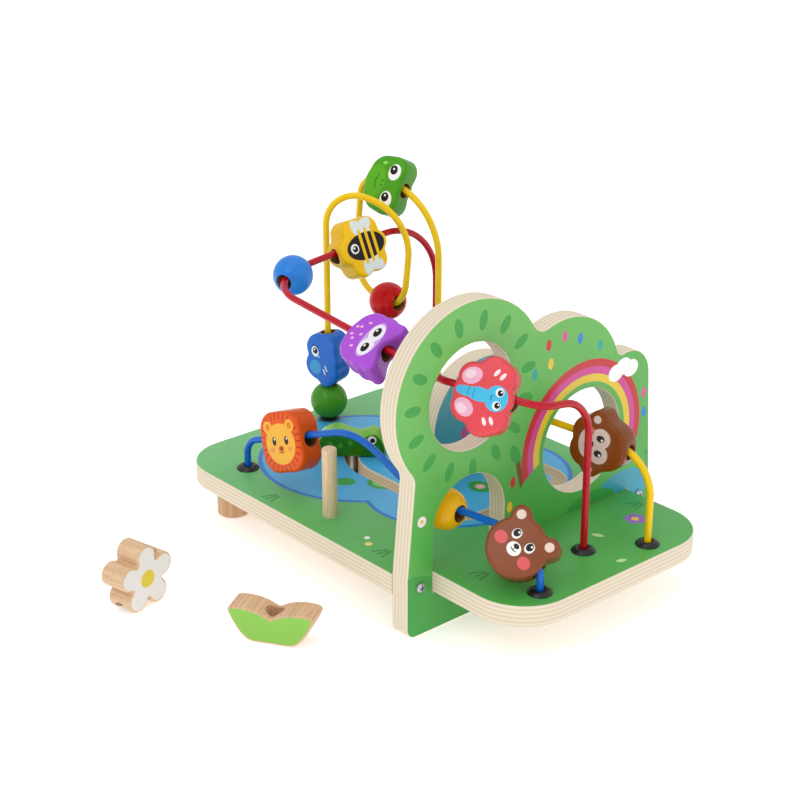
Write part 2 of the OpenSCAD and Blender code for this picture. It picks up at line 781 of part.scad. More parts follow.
module track_screw() {
    color("silver") translate(flat(croc_at, deck_lift - run_gap - washer_t)) screw(washer_t + screw_bite - fit_gap);
}

// Crocodile seen from its side: shares of its length and height, [along, up, radius of length]
croc_hump_shares = [[-0.18, 0.68, 0.13], [0.33, 0.66, 0.1]];
module crocodile_outline() {
    translate([-croc_l / 2 + croc_h / 4, 0]) square([croc_l - croc_h / 2, croc_h * 0.7]);
    for (side = [-1, 1]) translate([side * (croc_l / 2 - croc_h * 0.3), 0]) {
        translate([-croc_h * 0.3, 0]) square([croc_h * 0.6, croc_h * 0.4]);
        translate([0, croc_h * 0.4]) circle(croc_h * 0.3);
    }
    for (s = croc_hump_shares) translate([s.x * croc_l, s.y * croc_h]) circle(s.z * croc_l);
}

module crocodile() {
    color("green") translate(flat(croc_at, deck_top + run_gap)) difference() {
        rotate([90, 0, croc_turn]) linear_extrude(croc_t, center = true) crocodile_outline();
        translate([0, 0, -overrun]) cylinder(d = pivot_d + 2 * run_gap, h = pivot_l + overrun + run_gap);
    }
}

// Five petals round a middle disc
petal_web_share = 0.92;
module flower_outline() {
    circle(petal_reach * petal_web_share);
    for (i = [0 : petals - 1]) rotate(i * 360 / petals - 90) translate([petal_reach, 0]) circle(petal_r);
}

// The flower stands on two of its petals, with its bore between two others
module flower_piece() {
    rest_z = petal_reach * cos(180 / petals) + petal_r;
    color("burlywood") translate(flat(flower_at, rest_z)) rotate(flower_turn) rotate([90, flower_lean, 90])
        difference() {
            linear_extrude(stack_t, center = true) flower_outline();
            rotate([90, 0, 0])
                cylinder(d = stack_bore_d, h = 2 * (petal_reach + petal_r) + 2 * overrun, center = true);
        }
}

// Two leaves that join at a flat foot: half the outline, as shares of the leaf's width and height
leaf_foot_shares = [0.205, 0];
leaf_side_shares = [0.354, 0.25];
leaf_tip_shares = [0.5, 0.92];
leaf_top_shares = [0.35, 0.99];
leaf_notch_shares = [0, 0.75];
// Rounds of the foot and of the top: place and radius, as shares of width and height
leaf_round_shares = [[0.205, 0.41, 0.41], [0.33, 0.75, 0.24]];
module half_leaf() {
    polygon([
        for (s = [[0, 0], leaf_foot_shares, leaf_side_shares, leaf_tip_shares, leaf_top_shares, leaf_notch_shares])
            [s.x * leaf_w, s.y * leaf_h]
    ]);
    for (s = leaf_round_shares) translate([s.x * leaf_w, s.y * leaf_h]) circle(s.z * leaf_h);
}

module leaf_outline() {
    for (side = [0, 1]) mirror([side, 0, 0]) half_leaf();
}

module leaf_piece() {
    color("yellowgreen") translate(flat(leaf_at, 0)) rotate(leaf_turn) difference() {
        rotate([90, 0, 0]) linear_extrude(stack_t, center = true) leaf_outline();
        translate([0, 0, -overrun]) cylinder(d = stack_bore_d, h = leaf_h + 2 * overrun);
    }
}

deck_board();
tree_panel();
hill_panel();
dowel_foot(near_foot_at);  // near_foot
dowel_foot(far_foot_at);  // far_foot
stacking_peg();
panel_screws();
foot_screws();
hill_screws();
tall_wire();
long_wire();
low_wire();
short_wire();
grommet(tall_near_foot);  // tall_near_grommet
grommet(tall_far_foot);  // tall_far_grommet
grommet(long_far_foot);  // long_far_grommet
grommet(long_near_foot);  // long_near_grommet
grommet(low_rear_foot);  // low_rear_grommet
grommet(low_front_foot);  // low_front_grommet
grommet(short_front_foot);  // short_front_grommet
grommet(short_rear_foot);  // short_rear_grommet
green_ball();
bird_bead();
red_ball();
frog_bead();
crimson_ball();
bee_bead();
blue_ball();
owl_bead();
butterfly_bead();
lion_bead();
yellow_ball();
bear_bead();
monkey_bead();
track_pin();
track_washer();
track_screw();
crocodile();
flower_piece();
leaf_piece();
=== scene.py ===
import math

import bmesh
import bpy
import numpy as np
from mathutils import Matrix, Vector
from mathutils.geometry import delaunay_2d_cdt


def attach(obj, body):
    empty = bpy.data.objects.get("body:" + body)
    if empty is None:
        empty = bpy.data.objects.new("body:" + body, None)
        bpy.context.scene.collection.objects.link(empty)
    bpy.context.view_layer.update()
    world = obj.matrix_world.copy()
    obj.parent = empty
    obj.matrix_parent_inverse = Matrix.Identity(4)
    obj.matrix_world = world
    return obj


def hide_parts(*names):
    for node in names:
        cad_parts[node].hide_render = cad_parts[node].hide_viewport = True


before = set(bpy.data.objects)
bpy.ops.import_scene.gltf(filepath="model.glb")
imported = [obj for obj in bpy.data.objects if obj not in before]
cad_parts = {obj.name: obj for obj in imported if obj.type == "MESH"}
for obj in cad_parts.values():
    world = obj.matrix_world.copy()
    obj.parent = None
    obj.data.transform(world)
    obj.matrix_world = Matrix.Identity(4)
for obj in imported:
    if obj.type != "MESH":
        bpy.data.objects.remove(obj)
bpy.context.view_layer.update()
chain = np.concatenate
MM = 0.001  # sizes in this script are millimetres until a mesh is made
X, Y, Z = np.eye(3)
ORIGIN = (0, 0, 0)
DECK_LOW, DECK_MID, DECK_TOP = 22.5, 28.5, 34.5
BOARD_HALF_W, TONGUE_HALF_W = 93, 75
PLY_HALF, PLY_EDGE = 6.0, 0.9
WIRE_R, BORE_R, RUN_GAP = 2.0, 4.5, 0.3
SHARP = math.radians(38)  # edges that turn more than this are shaded as edges

# Forms


def unit(v):
    v = np.asarray(v, float)
    return v / np.linalg.norm(v)


def arc(centre, r, a0, a1, n):
    """Points on a circle arc from angle a0 to angle a1, in degrees."""
    a = np.radians(np.linspace(a0, a1, n))
    return np.array(centre, float) + r * np.stack([np.cos(a), np.sin(a)], 1)


def bearing(a, b):
    """Angle of the way from a to b, in degrees."""
    return math.degrees(math.atan2(b[1] - a[1], b[0] - a[0]))


def dense(loop, step=3.0):
    """A closed loop with more points on its long sides."""
    side = np.roll(loop, -1, 0) - loop
    n = np.maximum(1, np.ceil(np.linalg.norm(side, axis=1) / step).astype(int))
    i = np.repeat(np.arange(len(loop)), n)
    share = chain([np.arange(k) / k for k in n])
    return loop[i] + side[i] * share[:, None]


def outward(loop):
    """Unit normals on the right of a closed loop, by central differences."""
    d = np.roll(loop, -1, 0) - np.roll(loop, 1, 0)
    n = np.stack([d[:, 1], -d[:, 0]], 1)
    return n / np.linalg.norm(n, axis=1, keepdims=True)


def eased(loop, step, width):
    """A closed loop at even steps, smoothed over a width so that its corners are round."""
    shut = chain([loop, loop[:1]])
    way = chain([[0.0], np.cumsum(np.linalg.norm(np.diff(shut, axis=0), axis=1))])
    n = int(way[-1] / step)
    even = np.stack([np.interp(np.arange(n) * way[-1] / n, way, shut[:, k]) for k in (0, 1)], 1)
    soft = np.exp(-0.5 * (2 * np.pi * np.fft.rfftfreq(n, way[-1] / n) * width) ** 2)
    return np.fft.irfft(np.fft.rfft(even, axis=0) * soft[:, None], n, axis=0)


def filled(loops):
    """Triangles between closed loops: a Delaunay net on their points, where a triangle's middle is in an odd
    number of loops."""
    points = chain(loops)
    start = np.cumsum([0] + [len(loop) for loop in loops])
    sides = chain([np.stack([np.arange(a, b), np.roll(np.arange(a, b), -1)], 1)
                   for a, b in zip(start, start[1:])])
    ends = [tuple(map(int, side)) for side in sides]
    _, _, faces, source, _, _ = delaunay_2d_cdt([Vector(p) for p in points], ends, [], 0, 1e-7)
    tri = np.array([[source[v][0] for v in face] for face in faces])
    mid, a, b = points[tri].mean(1)[:, None], points[sides[:, 0]], points[sides[:, 1]]
    rise = np.where(a[:, 1] == b[:, 1], 1.0, b[:, 1] - a[:, 1])
    crossed = (a[:, 1] > mid[..., 1]) != (b[:, 1] > mid[..., 1])
    ahead = mid[..., 0] < a[:, 0] + (mid[..., 1] - a[:, 1]) * (b[:, 0] - a[:, 0]) / rise
    return tri[(crossed & ahead).sum(1) % 2 == 1]


def walls(i):
    """Quads between rows of points, where each row is a closed ring."""
    j = np.roll(i, -1, 1)
    return np.stack([i[:-1], j[:-1], j[1:], i[1:]], 2).reshape(-1, 4)


def plate(loops, low, high, edge, steps=5):
    """A plate with rounded edges. S(k, s) is the loop's point k, moved in by inset(s) along its normal, at
    height(s): s goes round a quarter circle, up the wall and round another. Both faces fill the loops."""
    q = np.linspace(0, np.pi / 2, steps + 1)
    inset = chain([edge * (1 - np.sin(q)), edge * (1 - np.cos(q))])
    height = chain([low + edge * (1 - np.cos(q)), high - edge * (1 - np.sin(q))])
    up = height[:, None, None]
    flats = [loop - inset[:, None, None] * outward(loop) for loop in loops]
    points = [chain([flat, np.broadcast_to(up, (*flat.shape[:2], 1))], 2).reshape(-1, 3) for flat in flats]
    start = np.cumsum([0] + [len(p) for p in points])
    rows = [first + np.arange(len(p)).reshape(len(inset), -1) for first, p in zip(start, points)]
    under, over = (chain([row[k] for row in rows]) for k in (0, -1))
    tri = filled([flat[0] for flat in flats])
    quads = chain([walls(row) for row in rows])
    return chain(points), quads, chain([over[tri], under[tri[:, ::-1]]])


def turned(profile, origin, axis, sides=48, closed=False):
    """A turned form. S(a, s) = origin + radius(s) (cos a e1 + sin a e2) + height(s) axis, with poles where
    the radius is zero, or a ring where the profile is closed."""
    axis = unit(axis)
    e1 = unit(np.cross(axis, [0.3, 0.9, 0.4] if abs(axis[1]) < 0.9 else [1, 0, 0.2]))
    e2 = np.cross(axis, e1)
    a = np.linspace(0, 2 * np.pi, sides, endpoint=False)
    spoke = np.cos(a)[:, None] * e1 + np.sin(a)[:, None] * e2
    profile = np.array(profile, float)
    rows, points, base = [], [], 0
    for r, h in profile:
        if r < 1e-6:
            points.append((np.array(origin) + h * axis)[None])
            rows.append(np.full(sides, base))
            base += 1
        else:
            points.append(np.array(origin) + r * spoke + h * axis)
            rows.append(base + np.arange(sides))
            base += sides
    if closed:
        rows.append(rows[0])
    quads, tris = [], []
    for i, j in zip(rows[:-1], rows[1:]):
        i2, j2 = np.roll(i, -1), np.roll(j, -1)
        if i[0] == i[1]:
            tris.append(np.stack([i, j2, j], 1))
        elif j[0] == j[1]:
            tris.append(np.stack([i, i2, j], 1))
        else:
            quads.append(np.stack([i, i2, j2, j], 1))
    return (chain(points), chain(quads or [np.zeros((0, 4), int)]),
            chain(tris or [np.zeros((0, 3), int)]))


def tube(path, heading, r, sides=20):
    """A wire. S(a, s) = path(s) + r (cos a e1(s) + sin a e2(s)), with e1 carried along without twist."""
    e1 = unit(np.cross(heading[0], [0.31, 0.77, 0.55]))
    side = []
    for h in heading:
        e1 = unit(e1 - h * (e1 @ h))
        side.append(e1)
    side = np.array(side)
    other = np.cross(heading, side)
    a = np.linspace(0, 2 * np.pi, sides, endpoint=False)[None, :, None]
    skin = path[:, None] + r * (np.cos(a) * side[:, None] + np.sin(a) * other[:, None])
    n = len(path)
    i = np.arange(n * sides).reshape(n, sides)
    j = np.roll(i, -1, 1)
    foot, head = n * sides, n * sides + 1
    tris = chain([np.stack([np.full(sides, foot), j[0], i[0]], 1),
                  np.stack([np.full(sides, head), i[-1], j[-1]], 1)])
    return chain([skin.reshape(-1, 3), path[:1], path[-1:]]), walls(i), tris


def wire_path(corners, radii):
    """Points and headings of a wire: straight runs between corners, and a circle arc round each corner."""
    c = np.array(corners, float)
    path, heading = [c[:1]], [unit(c[1] - c[0])[None]]
    for i, r in enumerate(radii, 1):
        a, b = unit(c[i] - c[i - 1]), unit(c[i + 1] - c[i])
        turn = math.acos(a @ b)
        side = unit(b - a * (a @ b))
        centre = c[i] - a * r * math.tan(turn / 2) + side * r
        t = np.linspace(0, turn, max(8, int(math.degrees(turn) / 4)))[:, None]
        path.append(centre + r * (np.sin(t) * a - np.cos(t) * side))
        heading.append(np.cos(t) * a + np.sin(t) * side)
    path.append(c[-1:])
    heading.append(unit(c[-1] - c[-2])[None])
    return chain(path), chain(heading)


def wire_runs(wire):
    """Start, end and direction of each straight run of a wire, short of the bends at its ends."""
    c, radii = np.array(WIRES[wire][0], float), WIRES[wire][1]
    way = [unit(d) for d in np.diff(c, axis=0)]
    trim = [0.0, *[r * math.tan(math.acos(a @ b) / 2) for r, a, b in zip(radii, way, way[1:])], 0.0]
    return [(c[i] + w * trim[i], c[i + 1] - w * trim[i + 1], w) for i, w in enumerate(way)]


def polar(discs, notch=None, soft=2.0, n=400):
    """A closed outline round the origin: at each angle the farthest crossing of the ray with the discs
    (x, y, r), short of a notch disc, smoothed along the angle."""
    t = np.arange(n) * 2 * np.pi / n
    ray = np.stack([np.cos(t), np.sin(t)], 1)

    def chord(x, y, r):
        """Each ray's way to the middle of the disc's chord, half the chord, and whether there is one."""
        q = np.array([x, y], float)
        along = ray @ q
        room = r * r - (q @ q - along**2)
        return along, np.sqrt(np.maximum(room, 0)), room > 0

    far = np.zeros(n)
    for disc in discs:
        along, half, met = chord(*disc)
        far = np.maximum(far, np.where(met, along + half, 0))
    if notch is not None:
        along, half, met = chord(*notch)
        far = np.minimum(far, np.where(met & (along > 0), along - half, np.inf))
    wave = np.fft.rfftfreq(n, 360 / n)
    far = np.fft.irfft(np.fft.rfft(far) * np.exp(-2 * (np.pi * wave * soft) ** 2), n)
    return far[:, None] * ray


def placed(shape, origin, ex, ey, ez):
    """A form carried into the part's frame."""
    points, quads, tris = shape
    return np.array(origin, float) + points @ np.array([ex, ey, ez], float), quads, tris


def joined(*shapes):
    """Several forms as one."""
    first = np.cumsum([0] + [len(shape[0]) for shape in shapes])
    quads, tris = (chain([shape[k] + n for shape, n in zip(shapes, first)]) for k in (1, 2))
    return chain([shape[0] for shape in shapes]), quads, tris


def new_mesh(name, shape):
    points, quads, tris = shape
    mesh = bpy.data.meshes.new(name)
    mesh.from_pydata((points * MM).tolist(), [], quads.tolist() + tris.tolist())
    mesh.validate()
    return mesh


def add_object(name, data):
    thing = bpy.data.objects.new(name, data)
    bpy.context.collection.objects.link(thing)
    return thing


def add_piece(name, shape, material, body, *nodes, cuts=(), slot=None):
    """A piece that rides on a body and stands for CAD nodes. Each cut is a form taken away by a Boolean."""
    piece = add_object(name, new_mesh(name, shape))
    for cut in cuts:
        tool = add_object("cut", new_mesh("cut", cut))
        step = piece.modifiers.new("cut", "BOOLEAN")
        step.operation, step.solver, step.object = "DIFFERENCE", "EXACT", tool
        bpy.context.view_layer.update()
        graph = bpy.context.evaluated_depsgraph_get()
        result = bpy.data.meshes.new_from_object(piece.evaluated_get(graph))
        piece.modifiers.clear()
        piece.data = result
        bpy.data.objects.remove(tool)
    mesh = piece.data
    tidied = bmesh.new()
    tidied.from_mesh(mesh)
    bmesh.ops.remove_doubles(tidied, verts=tidied.verts, dist=1e-6)
    bmesh.ops.dissolve_degenerate(tidied, edges=tidied.edges, dist=1e-7)
    bmesh.ops.recalc_face_normals(tidied, faces=tidied.faces)
    tidied.to_mesh(mesh)
    tidied.free()
    mesh.materials.clear()
    mesh.materials.append(material)
    mesh.polygons.foreach_set("use_smooth", np.ones(len(mesh.polygons), bool))
    mesh.polygons.foreach_set("material_index", np.zeros(len(mesh.polygons), np.int32))
    mesh.set_sharp_from_angle(angle=SHARP)
    mesh.update()
    if nodes:
        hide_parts(*nodes)
    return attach(piece, body)


# Shader nodes


def rgb(code):
    """A colour written as hex digits, in linear values."""
    s = np.array([int(code[i:i + 2], 16) for i in (1, 3, 5)]) / 255
    return (*np.where(s <= 0.04045, s / 12.92, ((s + 0.055) / 1.055) ** 2.4), 1.0)


class Net:
    """Short calls that add nodes to a tree."""

    def __init__(self, tree):
        self.tree = tree

    def put(self, socket, value):
        if isinstance(value, bpy.types.NodeSocket):
            self.tree.links.new(value, socket)
        else:
            socket.default_value = rgb(value) if isinstance(value, str) else value

    def node(self, kind, inputs=None, **props):
        n = self.tree.nodes.new(kind)
        for k, v in props.items():
            setattr(n, k, v)
        for k, v in (inputs or {}).items():
            self.put(n.inputs[k], v)
        return n

    def math(self, op, a, b=0.0, clamp=False):
        return self.node("ShaderNodeMath", {0: a, 1: b}, operation=op, use_clamp=clamp).outputs[0]

    def vec(self, op, a, b=(0.0, 0.0, 0.0)):
        n = self.node("ShaderNodeVectorMath", {0: a, 1: b}, operation=op)
        return n.outputs["Value" if op in ("DOT_PRODUCT", "LENGTH") else "Vector"]

    def scale(self, a, k):
        return self.node("ShaderNodeVectorMath", {0: a, "Scale": k}, operation="SCALE").outputs[0]

    def mix(self, f, a, b):
        return self.node("ShaderNodeMix", {0: f, 6: a, 7: b}, data_type="RGBA").outputs[2]

    def parts(self, v):
        return self.node("ShaderNodeSeparateXYZ", {0: v}).outputs

    def join(self, x, y, z):
        return self.node("ShaderNodeCombineXYZ", {0: x, 1: y, 2: z}).outputs[0]

    def noise(self, v, scale, detail=2.0, rough=0.5):
        kind = {"Vector": v, "Scale": scale, "Detail": detail, "Roughness": rough}
        return self.node("ShaderNodeTexNoise", kind).outputs[0]

    def range(self, v, a, b, c=0.0, d=1.0):
        return self.node("ShaderNodeMapRange", {0: v, 1: a, 2: b, 3: c, 4: d}).outputs[0]

    def spread(self, noise, low, high):
        """A noise's usual values, from 0.3 to 0.7, spread from low to high."""
        return self.range(noise, 0.3, 0.7, low, high)

    def blend(self, f, a, b):
        return self.node("ShaderNodeMix", {0: f, 2: a, 3: b}).outputs[0]

    def weighted(self, a, ka, b, kb):
        return self.math("ADD", self.math("MULTIPLY", a, ka), self.math("MULTIPLY", b, kb))

    def tint(self, colour, value, saturation=1.0):
        kind = {"Saturation": saturation, "Value": value, "Color": colour}
        return self.node("ShaderNodeHueSaturation", kind).outputs[0]

    def call(self, group, **inputs):
        return self.node("ShaderNodeGroup", inputs, node_tree=group).outputs

    def fill(self, sockets, *values):
        """Put values into the first sockets, in turn."""
        for socket, value in zip(sockets, values):
            self.put(socket, value)
        return self.tree


SOCKET = {"v": "NodeSocketVector", "f": "NodeSocketFloat", "c": "NodeSocketColor"}
SURFACE = {"Colour": "c", "Roughness": "f", "Height": "f"}
AXES = ("Centre", "Along", "Across", "Face")
MARK_SOFT = 0.12
BOARD_LIP, BEAD_LIP = 0.14, 0.55  # how far below a face its print ends
PLY_PAIR = 2.4  # a pale and a brown ply together


def new_group(name, inputs, outputs):
    """An empty node group with named sockets: its net, its inputs and its output node."""
    tree = bpy.data.node_groups.new(name, "ShaderNodeTree")
    for k, kind in inputs.items():
        tree.interface.new_socket(k, in_out="INPUT", socket_type=SOCKET[kind])
    for k, kind in outputs.items():
        tree.interface.new_socket(k, in_out="OUTPUT", socket_type=SOCKET[kind])
    net = Net(tree)
    return net, net.node("NodeGroupInput").outputs, net.node("NodeGroupOutput").inputs


def make_piece_frame():
    """Point of the surface in a piece's own frame, in millimetres."""
    net, i, o = new_group("piece_frame", dict.fromkeys(AXES, "v"), {"Point": "v"})
    p = net.vec("SUBTRACT", net.node("ShaderNodeTexCoord").outputs["Object"], i["Centre"])
    p = net.scale(p, 1 / MM)
    return net.fill(o, net.join(*[net.vec("DOT_PRODUCT", p, i[k]) for k in AXES[1:]]))


def mark_group(name, inputs, room):
    """Mask of a mark: one where a point has room to the mark's edge inside it, with a soft edge."""
    net, i, o = new_group(name, {"Point": "v", **inputs, "Soft": "f"}, {"Mask": "f"})
    return net.fill(o, net.math("ADD", net.math("DIVIDE", room(net, i), i["Soft"]), 0.5, True))


def flat_way(net, i, start):
    """The way from a mark's start to the point, in the face's plane."""
    return net.vec("MULTIPLY", net.vec("SUBTRACT", i["Point"], i[start]), (1.0, 1.0, 0.0))


def oval_room(net, i):
    """Room in a turned oval, by the distance from its middle over its two half sizes."""
    way = {"Vector": flat_way(net, i, "Place"), "Angle": net.math("MULTIPLY", i["Turn"], -1.0)}
    q = net.node("ShaderNodeVectorRotate", way, rotation_type="Z_AXIS").outputs[0]
    far = net.vec("LENGTH", net.vec("DIVIDE", q, i["Size"]))
    return net.math("MULTIPLY", net.math("SUBTRACT", 1.0, far), net.parts(i["Size"])[1])


def bar_room(net, i):
    """Room in a round-ended bar, by the distance from its middle line."""
    p, line = flat_way(net, i, "From"), net.vec("SUBTRACT", i["To"], i["From"])
    along = net.math("DIVIDE", net.vec("DOT_PRODUCT", p, line), net.vec("DOT_PRODUCT", line, line), True)
    off = net.vec("LENGTH", net.vec("SUBTRACT", p, net.scale(line, along)))
    return net.math("SUBTRACT", net.math("MULTIPLY", i["Width"], 0.5), off)


def ring_room(net, i):
    """Room in a ring, by the distance from its circle."""
    far = net.vec("LENGTH", flat_way(net, i, "Place"))
    off = net.math("ABSOLUTE", net.math("SUBTRACT", far, i["Radius"]))
    return net.math("SUBTRACT", net.math("MULTIPLY", i["Width"], 0.5), off)


def make_paint():
    """Paint on wood: a slow change of tone, fine specks, and the grain that stands through the coat."""
    net, i, o = new_group("paint_coat", {"Point": "v", "Colour": "c", "Gloss": "f"}, SURFACE)
    slow = net.noise(i["Point"], 0.03, 2.0)
    fine = net.noise(i["Point"], 1.6, 3.0, 0.6)
    grain = net.noise(net.vec("MULTIPLY", i["Point"], (0.08, 1.4, 1.4)), 1.0, 3.0, 0.6)
    tone = net.math("ADD", net.spread(slow, 0.92, 0.99), net.spread(grain, -0.014, 0.014))
    rough = net.math("ADD", i["Gloss"], net.spread(fine, -0.05, 0.07))
    return net.fill(o, net.tint(i["Colour"], tone, 1.04), rough, net.weighted(grain, 0.6, fine, 0.25))


def make_wood():
    """Bare wood with its grain along the first axis: growth bands, short dark flecks and fine pores."""
    net, i, o = new_group("wood_grain", {"Point": "v", "Pale": "c", "Dark": "c"}, SURFACE)
    long = net.vec("MULTIPLY", i["Point"], (0.06, 1.0, 1.0))
    bands = net.noise(long, 0.35, 3.0, 0.6)
    sway = net.math("ADD", net.parts(long)[1], net.math("MULTIPLY", bands, 9.0))
    wave = net.math("SINE", net.math("MULTIPLY", sway, 2.1))
    fleck = net.noise(net.vec("MULTIPLY", i["Point"], (0.35, 3.0, 3.0)), 1.0, 2.0, 0.5)
    pores = net.noise(net.vec("MULTIPLY", i["Point"], (0.25, 7.0, 7.0)), 1.0, 2.0, 0.6)
    dark = net.math("ADD", net.range(wave, -1.0, 1.0, 0.0, 0.45), net.range(fleck, 0.52, 0.72, 0.0, 0.5))
    dark = net.math("ADD", dark, net.range(pores, 0.35, 0.7, -0.08, 0.15), True)
    return net.fill(o, net.mix(dark, i["Pale"], i["Dark"]), net.spread(pores, 0.5, 0.68),
                    net.weighted(pores, 0.7, wave, 0.15))


def make_ply():
    """Cut edge of plywood: plies across the depth, pale and brown in turn, with end grain specks."""
    net, i, o = new_group("ply_edge", {"Point": "v", "Depth": "f"}, SURFACE)
    sway = net.noise(i["Point"], 0.05, 2.0)
    turn = net.weighted(i["Depth"], 2 * math.pi / PLY_PAIR, sway, 1.1)
    layer = net.range(net.math("SINE", turn), -0.35, 0.55)
    specks = net.noise(i["Point"], 1.3, 3.0, 0.7)
    tone = net.mix(layer, "#D8C8AE", "#E5D9C4")
    tone = net.mix(net.range(specks, 0.55, 0.75, 0.0, 0.28), tone, "#C4A680")
    return net.fill(o, tone, net.spread(specks, 0.55, 0.75), net.weighted(layer, 0.5, specks, 0.6))


FRAME = make_piece_frame()
MARK = {"oval": mark_group("oval_mark", {"Place": "v", "Size": "v", "Turn": "f"}, oval_room),
        "bar": mark_group("bar_mark", {"From": "v", "To": "v", "Width": "f"}, bar_room),
        "ring": mark_group("ring_mark", {"Place": "v", "Radius": "f", "Width": "f"}, ring_room)}
PAINT, WOOD, PLY = make_paint(), make_wood(), make_ply()


class Look(Net):
    """A new material's net, with its shader's inputs and the surface's point in the axes."""

    def __init__(self, name, axes=(ORIGIN, X, Y, Z)):
        self.material = bpy.data.materials.new(name)
        self.material.use_nodes = True
        super().__init__(self.material.node_tree)
        self.tree.nodes.clear()
        shader = self.node("ShaderNodeBsdfPrincipled")
        self.node("ShaderNodeOutputMaterial", {"Surface": shader.outputs[0]})
        self.shader = shader.inputs
        centre, *ways = np.array(axes, float)
        given = {k: tuple(v) for k, v in zip(AXES, (centre * MM, *ways))}
        self.point = self.call(FRAME, **given)["Point"]

    def lay(self, group, **inputs):
        """A group's outputs at the surface's point."""
        return self.call(group, Point=self.point, **inputs)

    def marked(self, colour, marks, turn=0.0):
        """A colour with marks painted on it one after another, the whole turned."""
        c, s = math.cos(math.radians(turn)), math.sin(math.radians(turn))

        def at(x, y):
            return (c * x - s * y, s * x + c * y, 0.0)

        for kind, paint, *places in marks:
            for x, y, *n in places:
                if kind == "oval":
                    tilt = math.radians((n[2] if len(n) > 2 else 0) + turn)
                    sizes = dict(Place=at(x, y), Size=(n[0], n[1], 1.0), Turn=tilt)
                elif kind == "bar":
                    sizes = dict(From=at(x, y), To=at(n[0], n[1]), Width=n[2])
                else:
                    sizes = dict(Place=at(x, y), Radius=n[0], Width=n[1])
                colour = self.mix(self.lay(MARK[kind], Soft=MARK_SOFT, **sizes)["Mask"], colour, paint)
        return colour

    def face(self, half, lip):
        """One on both faces of a plate of this half thickness, zero on its edge below a lip."""
        depth = self.math("ABSOLUTE", self.parts(self.point)[2])
        return self.range(depth, half - lip, half - 0.7 * lip)

    def give(self, values):
        """Set inputs of the shader."""
        for k, v in values.items():
            self.put(self.shader[k], v)
        return self.material

    def dress(self, colour, rough, height, strength, distance, **others):
        """Give the shader its colour, its roughness, and a bump of this strength and depth in millimetres."""
        kind = {"Height": height, "Strength": strength, "Distance": distance * MM}
        bump = self.node("ShaderNodeBump", kind).outputs[0]
        return self.give({"Base Color": colour, "Roughness": rough, "Normal": bump, **others})


def oval(colour, *places):
    """Ovals in one colour: each one's middle, half sizes, and tilt in degrees where it has one."""
    return "oval", colour, *places


def bar(colour, *places):
    """Round-ended bars in one colour: each one's two ends and width."""
    return "bar", colour, *places


def ring(colour, *places):
    """Rings in one colour: each one's middle, radius and width."""
    return "ring", colour, *places


def varnish(specular, coat, rough):
    """A shader's own shine, and the clear coat over it with its roughness."""
    return {"Specular IOR Level": specular, "Coat Weight": coat, "Coat Roughness": rough}


def board_material(name, axes, ground, marks, bare_under=False):
    """Printed plywood: the print, plies on the cut edge, and bare wood below where asked. The print's
    ground goes from one colour to another as kx x + ky y goes from a low to a high value."""
    look = Look(name, axes)
    kx, ky, low, high, *colours = ground
    x, y, depth = look.parts(look.point)
    face = look.face(PLY_HALF, BOARD_LIP)
    colour = look.mix(look.range(look.weighted(x, kx, y, ky), low, high), *colours)
    shown, rough, height = look.lay(PAINT, Colour=look.marked(colour, marks), Gloss=0.38)
    ply = look.lay(PLY, Depth=depth)
    if bare_under:
        veneer = look.lay(WOOD, Pale="#DCC6A6", Dark="#C4A57E")["Colour"]
        shown = look.mix(look.range(depth, -0.1, 0.1), veneer, shown)
    rough = look.blend(face, ply["Roughness"], rough)
    height = look.blend(face, ply["Height"], look.math("MULTIPLY", height, 0.35))
    return look.dress(look.mix(face, ply["Colour"], shown), rough, height, 0.5, 0.12)


def bead_material(name, axes, half, side, face=None, marks=(), turn=0.0, bore=4.6):
    """A painted wooden bead: a print on both faces where it has flat ones, one colour round the side, and
    bare wood in the bore, made dark brown as painted shade in the hollow."""
    look = Look(name, axes)
    colour = look.mix(look.face(half, BEAD_LIP), side, look.marked(face, marks, turn)) if half else side
    shown, rough, height = look.lay(PAINT, Colour=colour, Gloss=0.26)
    # bare wood in dark browns: the wood is real, and its darkness is painted shade inside the bore
    wood = look.lay(WOOD, Pale="#8A6238", Dark="#5A3B1E")["Colour"]
    off = look.vec("LENGTH", look.vec("MULTIPLY", look.point, (0.0, 1.0, 1.0)))
    shown = look.mix(look.range(off, bore, bore + 0.2, 1.0, 0.0), shown, wood)
    return look.dress(shown, rough, height, 0.03, 0.05, **varnish(0.2, 0.1, 0.12))


def wood_material(name, axes, pale="#E4CBA8", dark="#CBA679"):
    """Bare wood with its grain along the frame's first axis."""
    look = Look(name, axes)
    return look.dress(*look.lay(WOOD, Pale=pale, Dark=dark), 0.3, 0.1)


def coat_material(name, axes, colour, marks=()):
    """A coat of paint on bare wood, with marks on it."""
    look = Look(name, axes)
    return look.dress(*look.lay(PAINT, Colour=look.marked(colour, marks), Gloss=0.34), 0.15, 0.06)


def enamel_material(name, colour):
    """Enamel on wire: long flow marks and a little orange peel under a hard gloss."""
    look = Look(name)
    peel = look.noise(look.point, 0.9, 2.0)
    tone = look.spread(look.noise(look.point, 0.06, 2.0), 0.9, 0.97)
    return look.dress(look.tint(colour, tone, 1.12), look.spread(peel, 0.2, 0.3), peel, 0.04, 0.05,
                      **varnish(0.25, 0.15, 0.08))


def plastic_material(name, colour, rough, metal=0.0):
    """Moulded plastic or plated steel with a fine texture."""
    look = Look(name)
    fine = look.noise(look.point, 2.5, 3.0, 0.6)
    tone = look.spread(look.noise(look.point, 0.3, 2.0), 0.85, 1.15)
    return look.dress(look.tint(colour, tone), look.spread(fine, rough - 0.06, rough + 0.08), fine,
                      0.15, 0.05, Metallic=metal)


STEEL = plastic_material("steel_zinc", "#B9BCC2", 0.32, 1.0)
BLACK = plastic_material("grommet_black", "#121214", 0.3)

# Board

FRONT_X, REAR_X = 71, -202
CORNER_R, SLOT_HALF = 30, 4


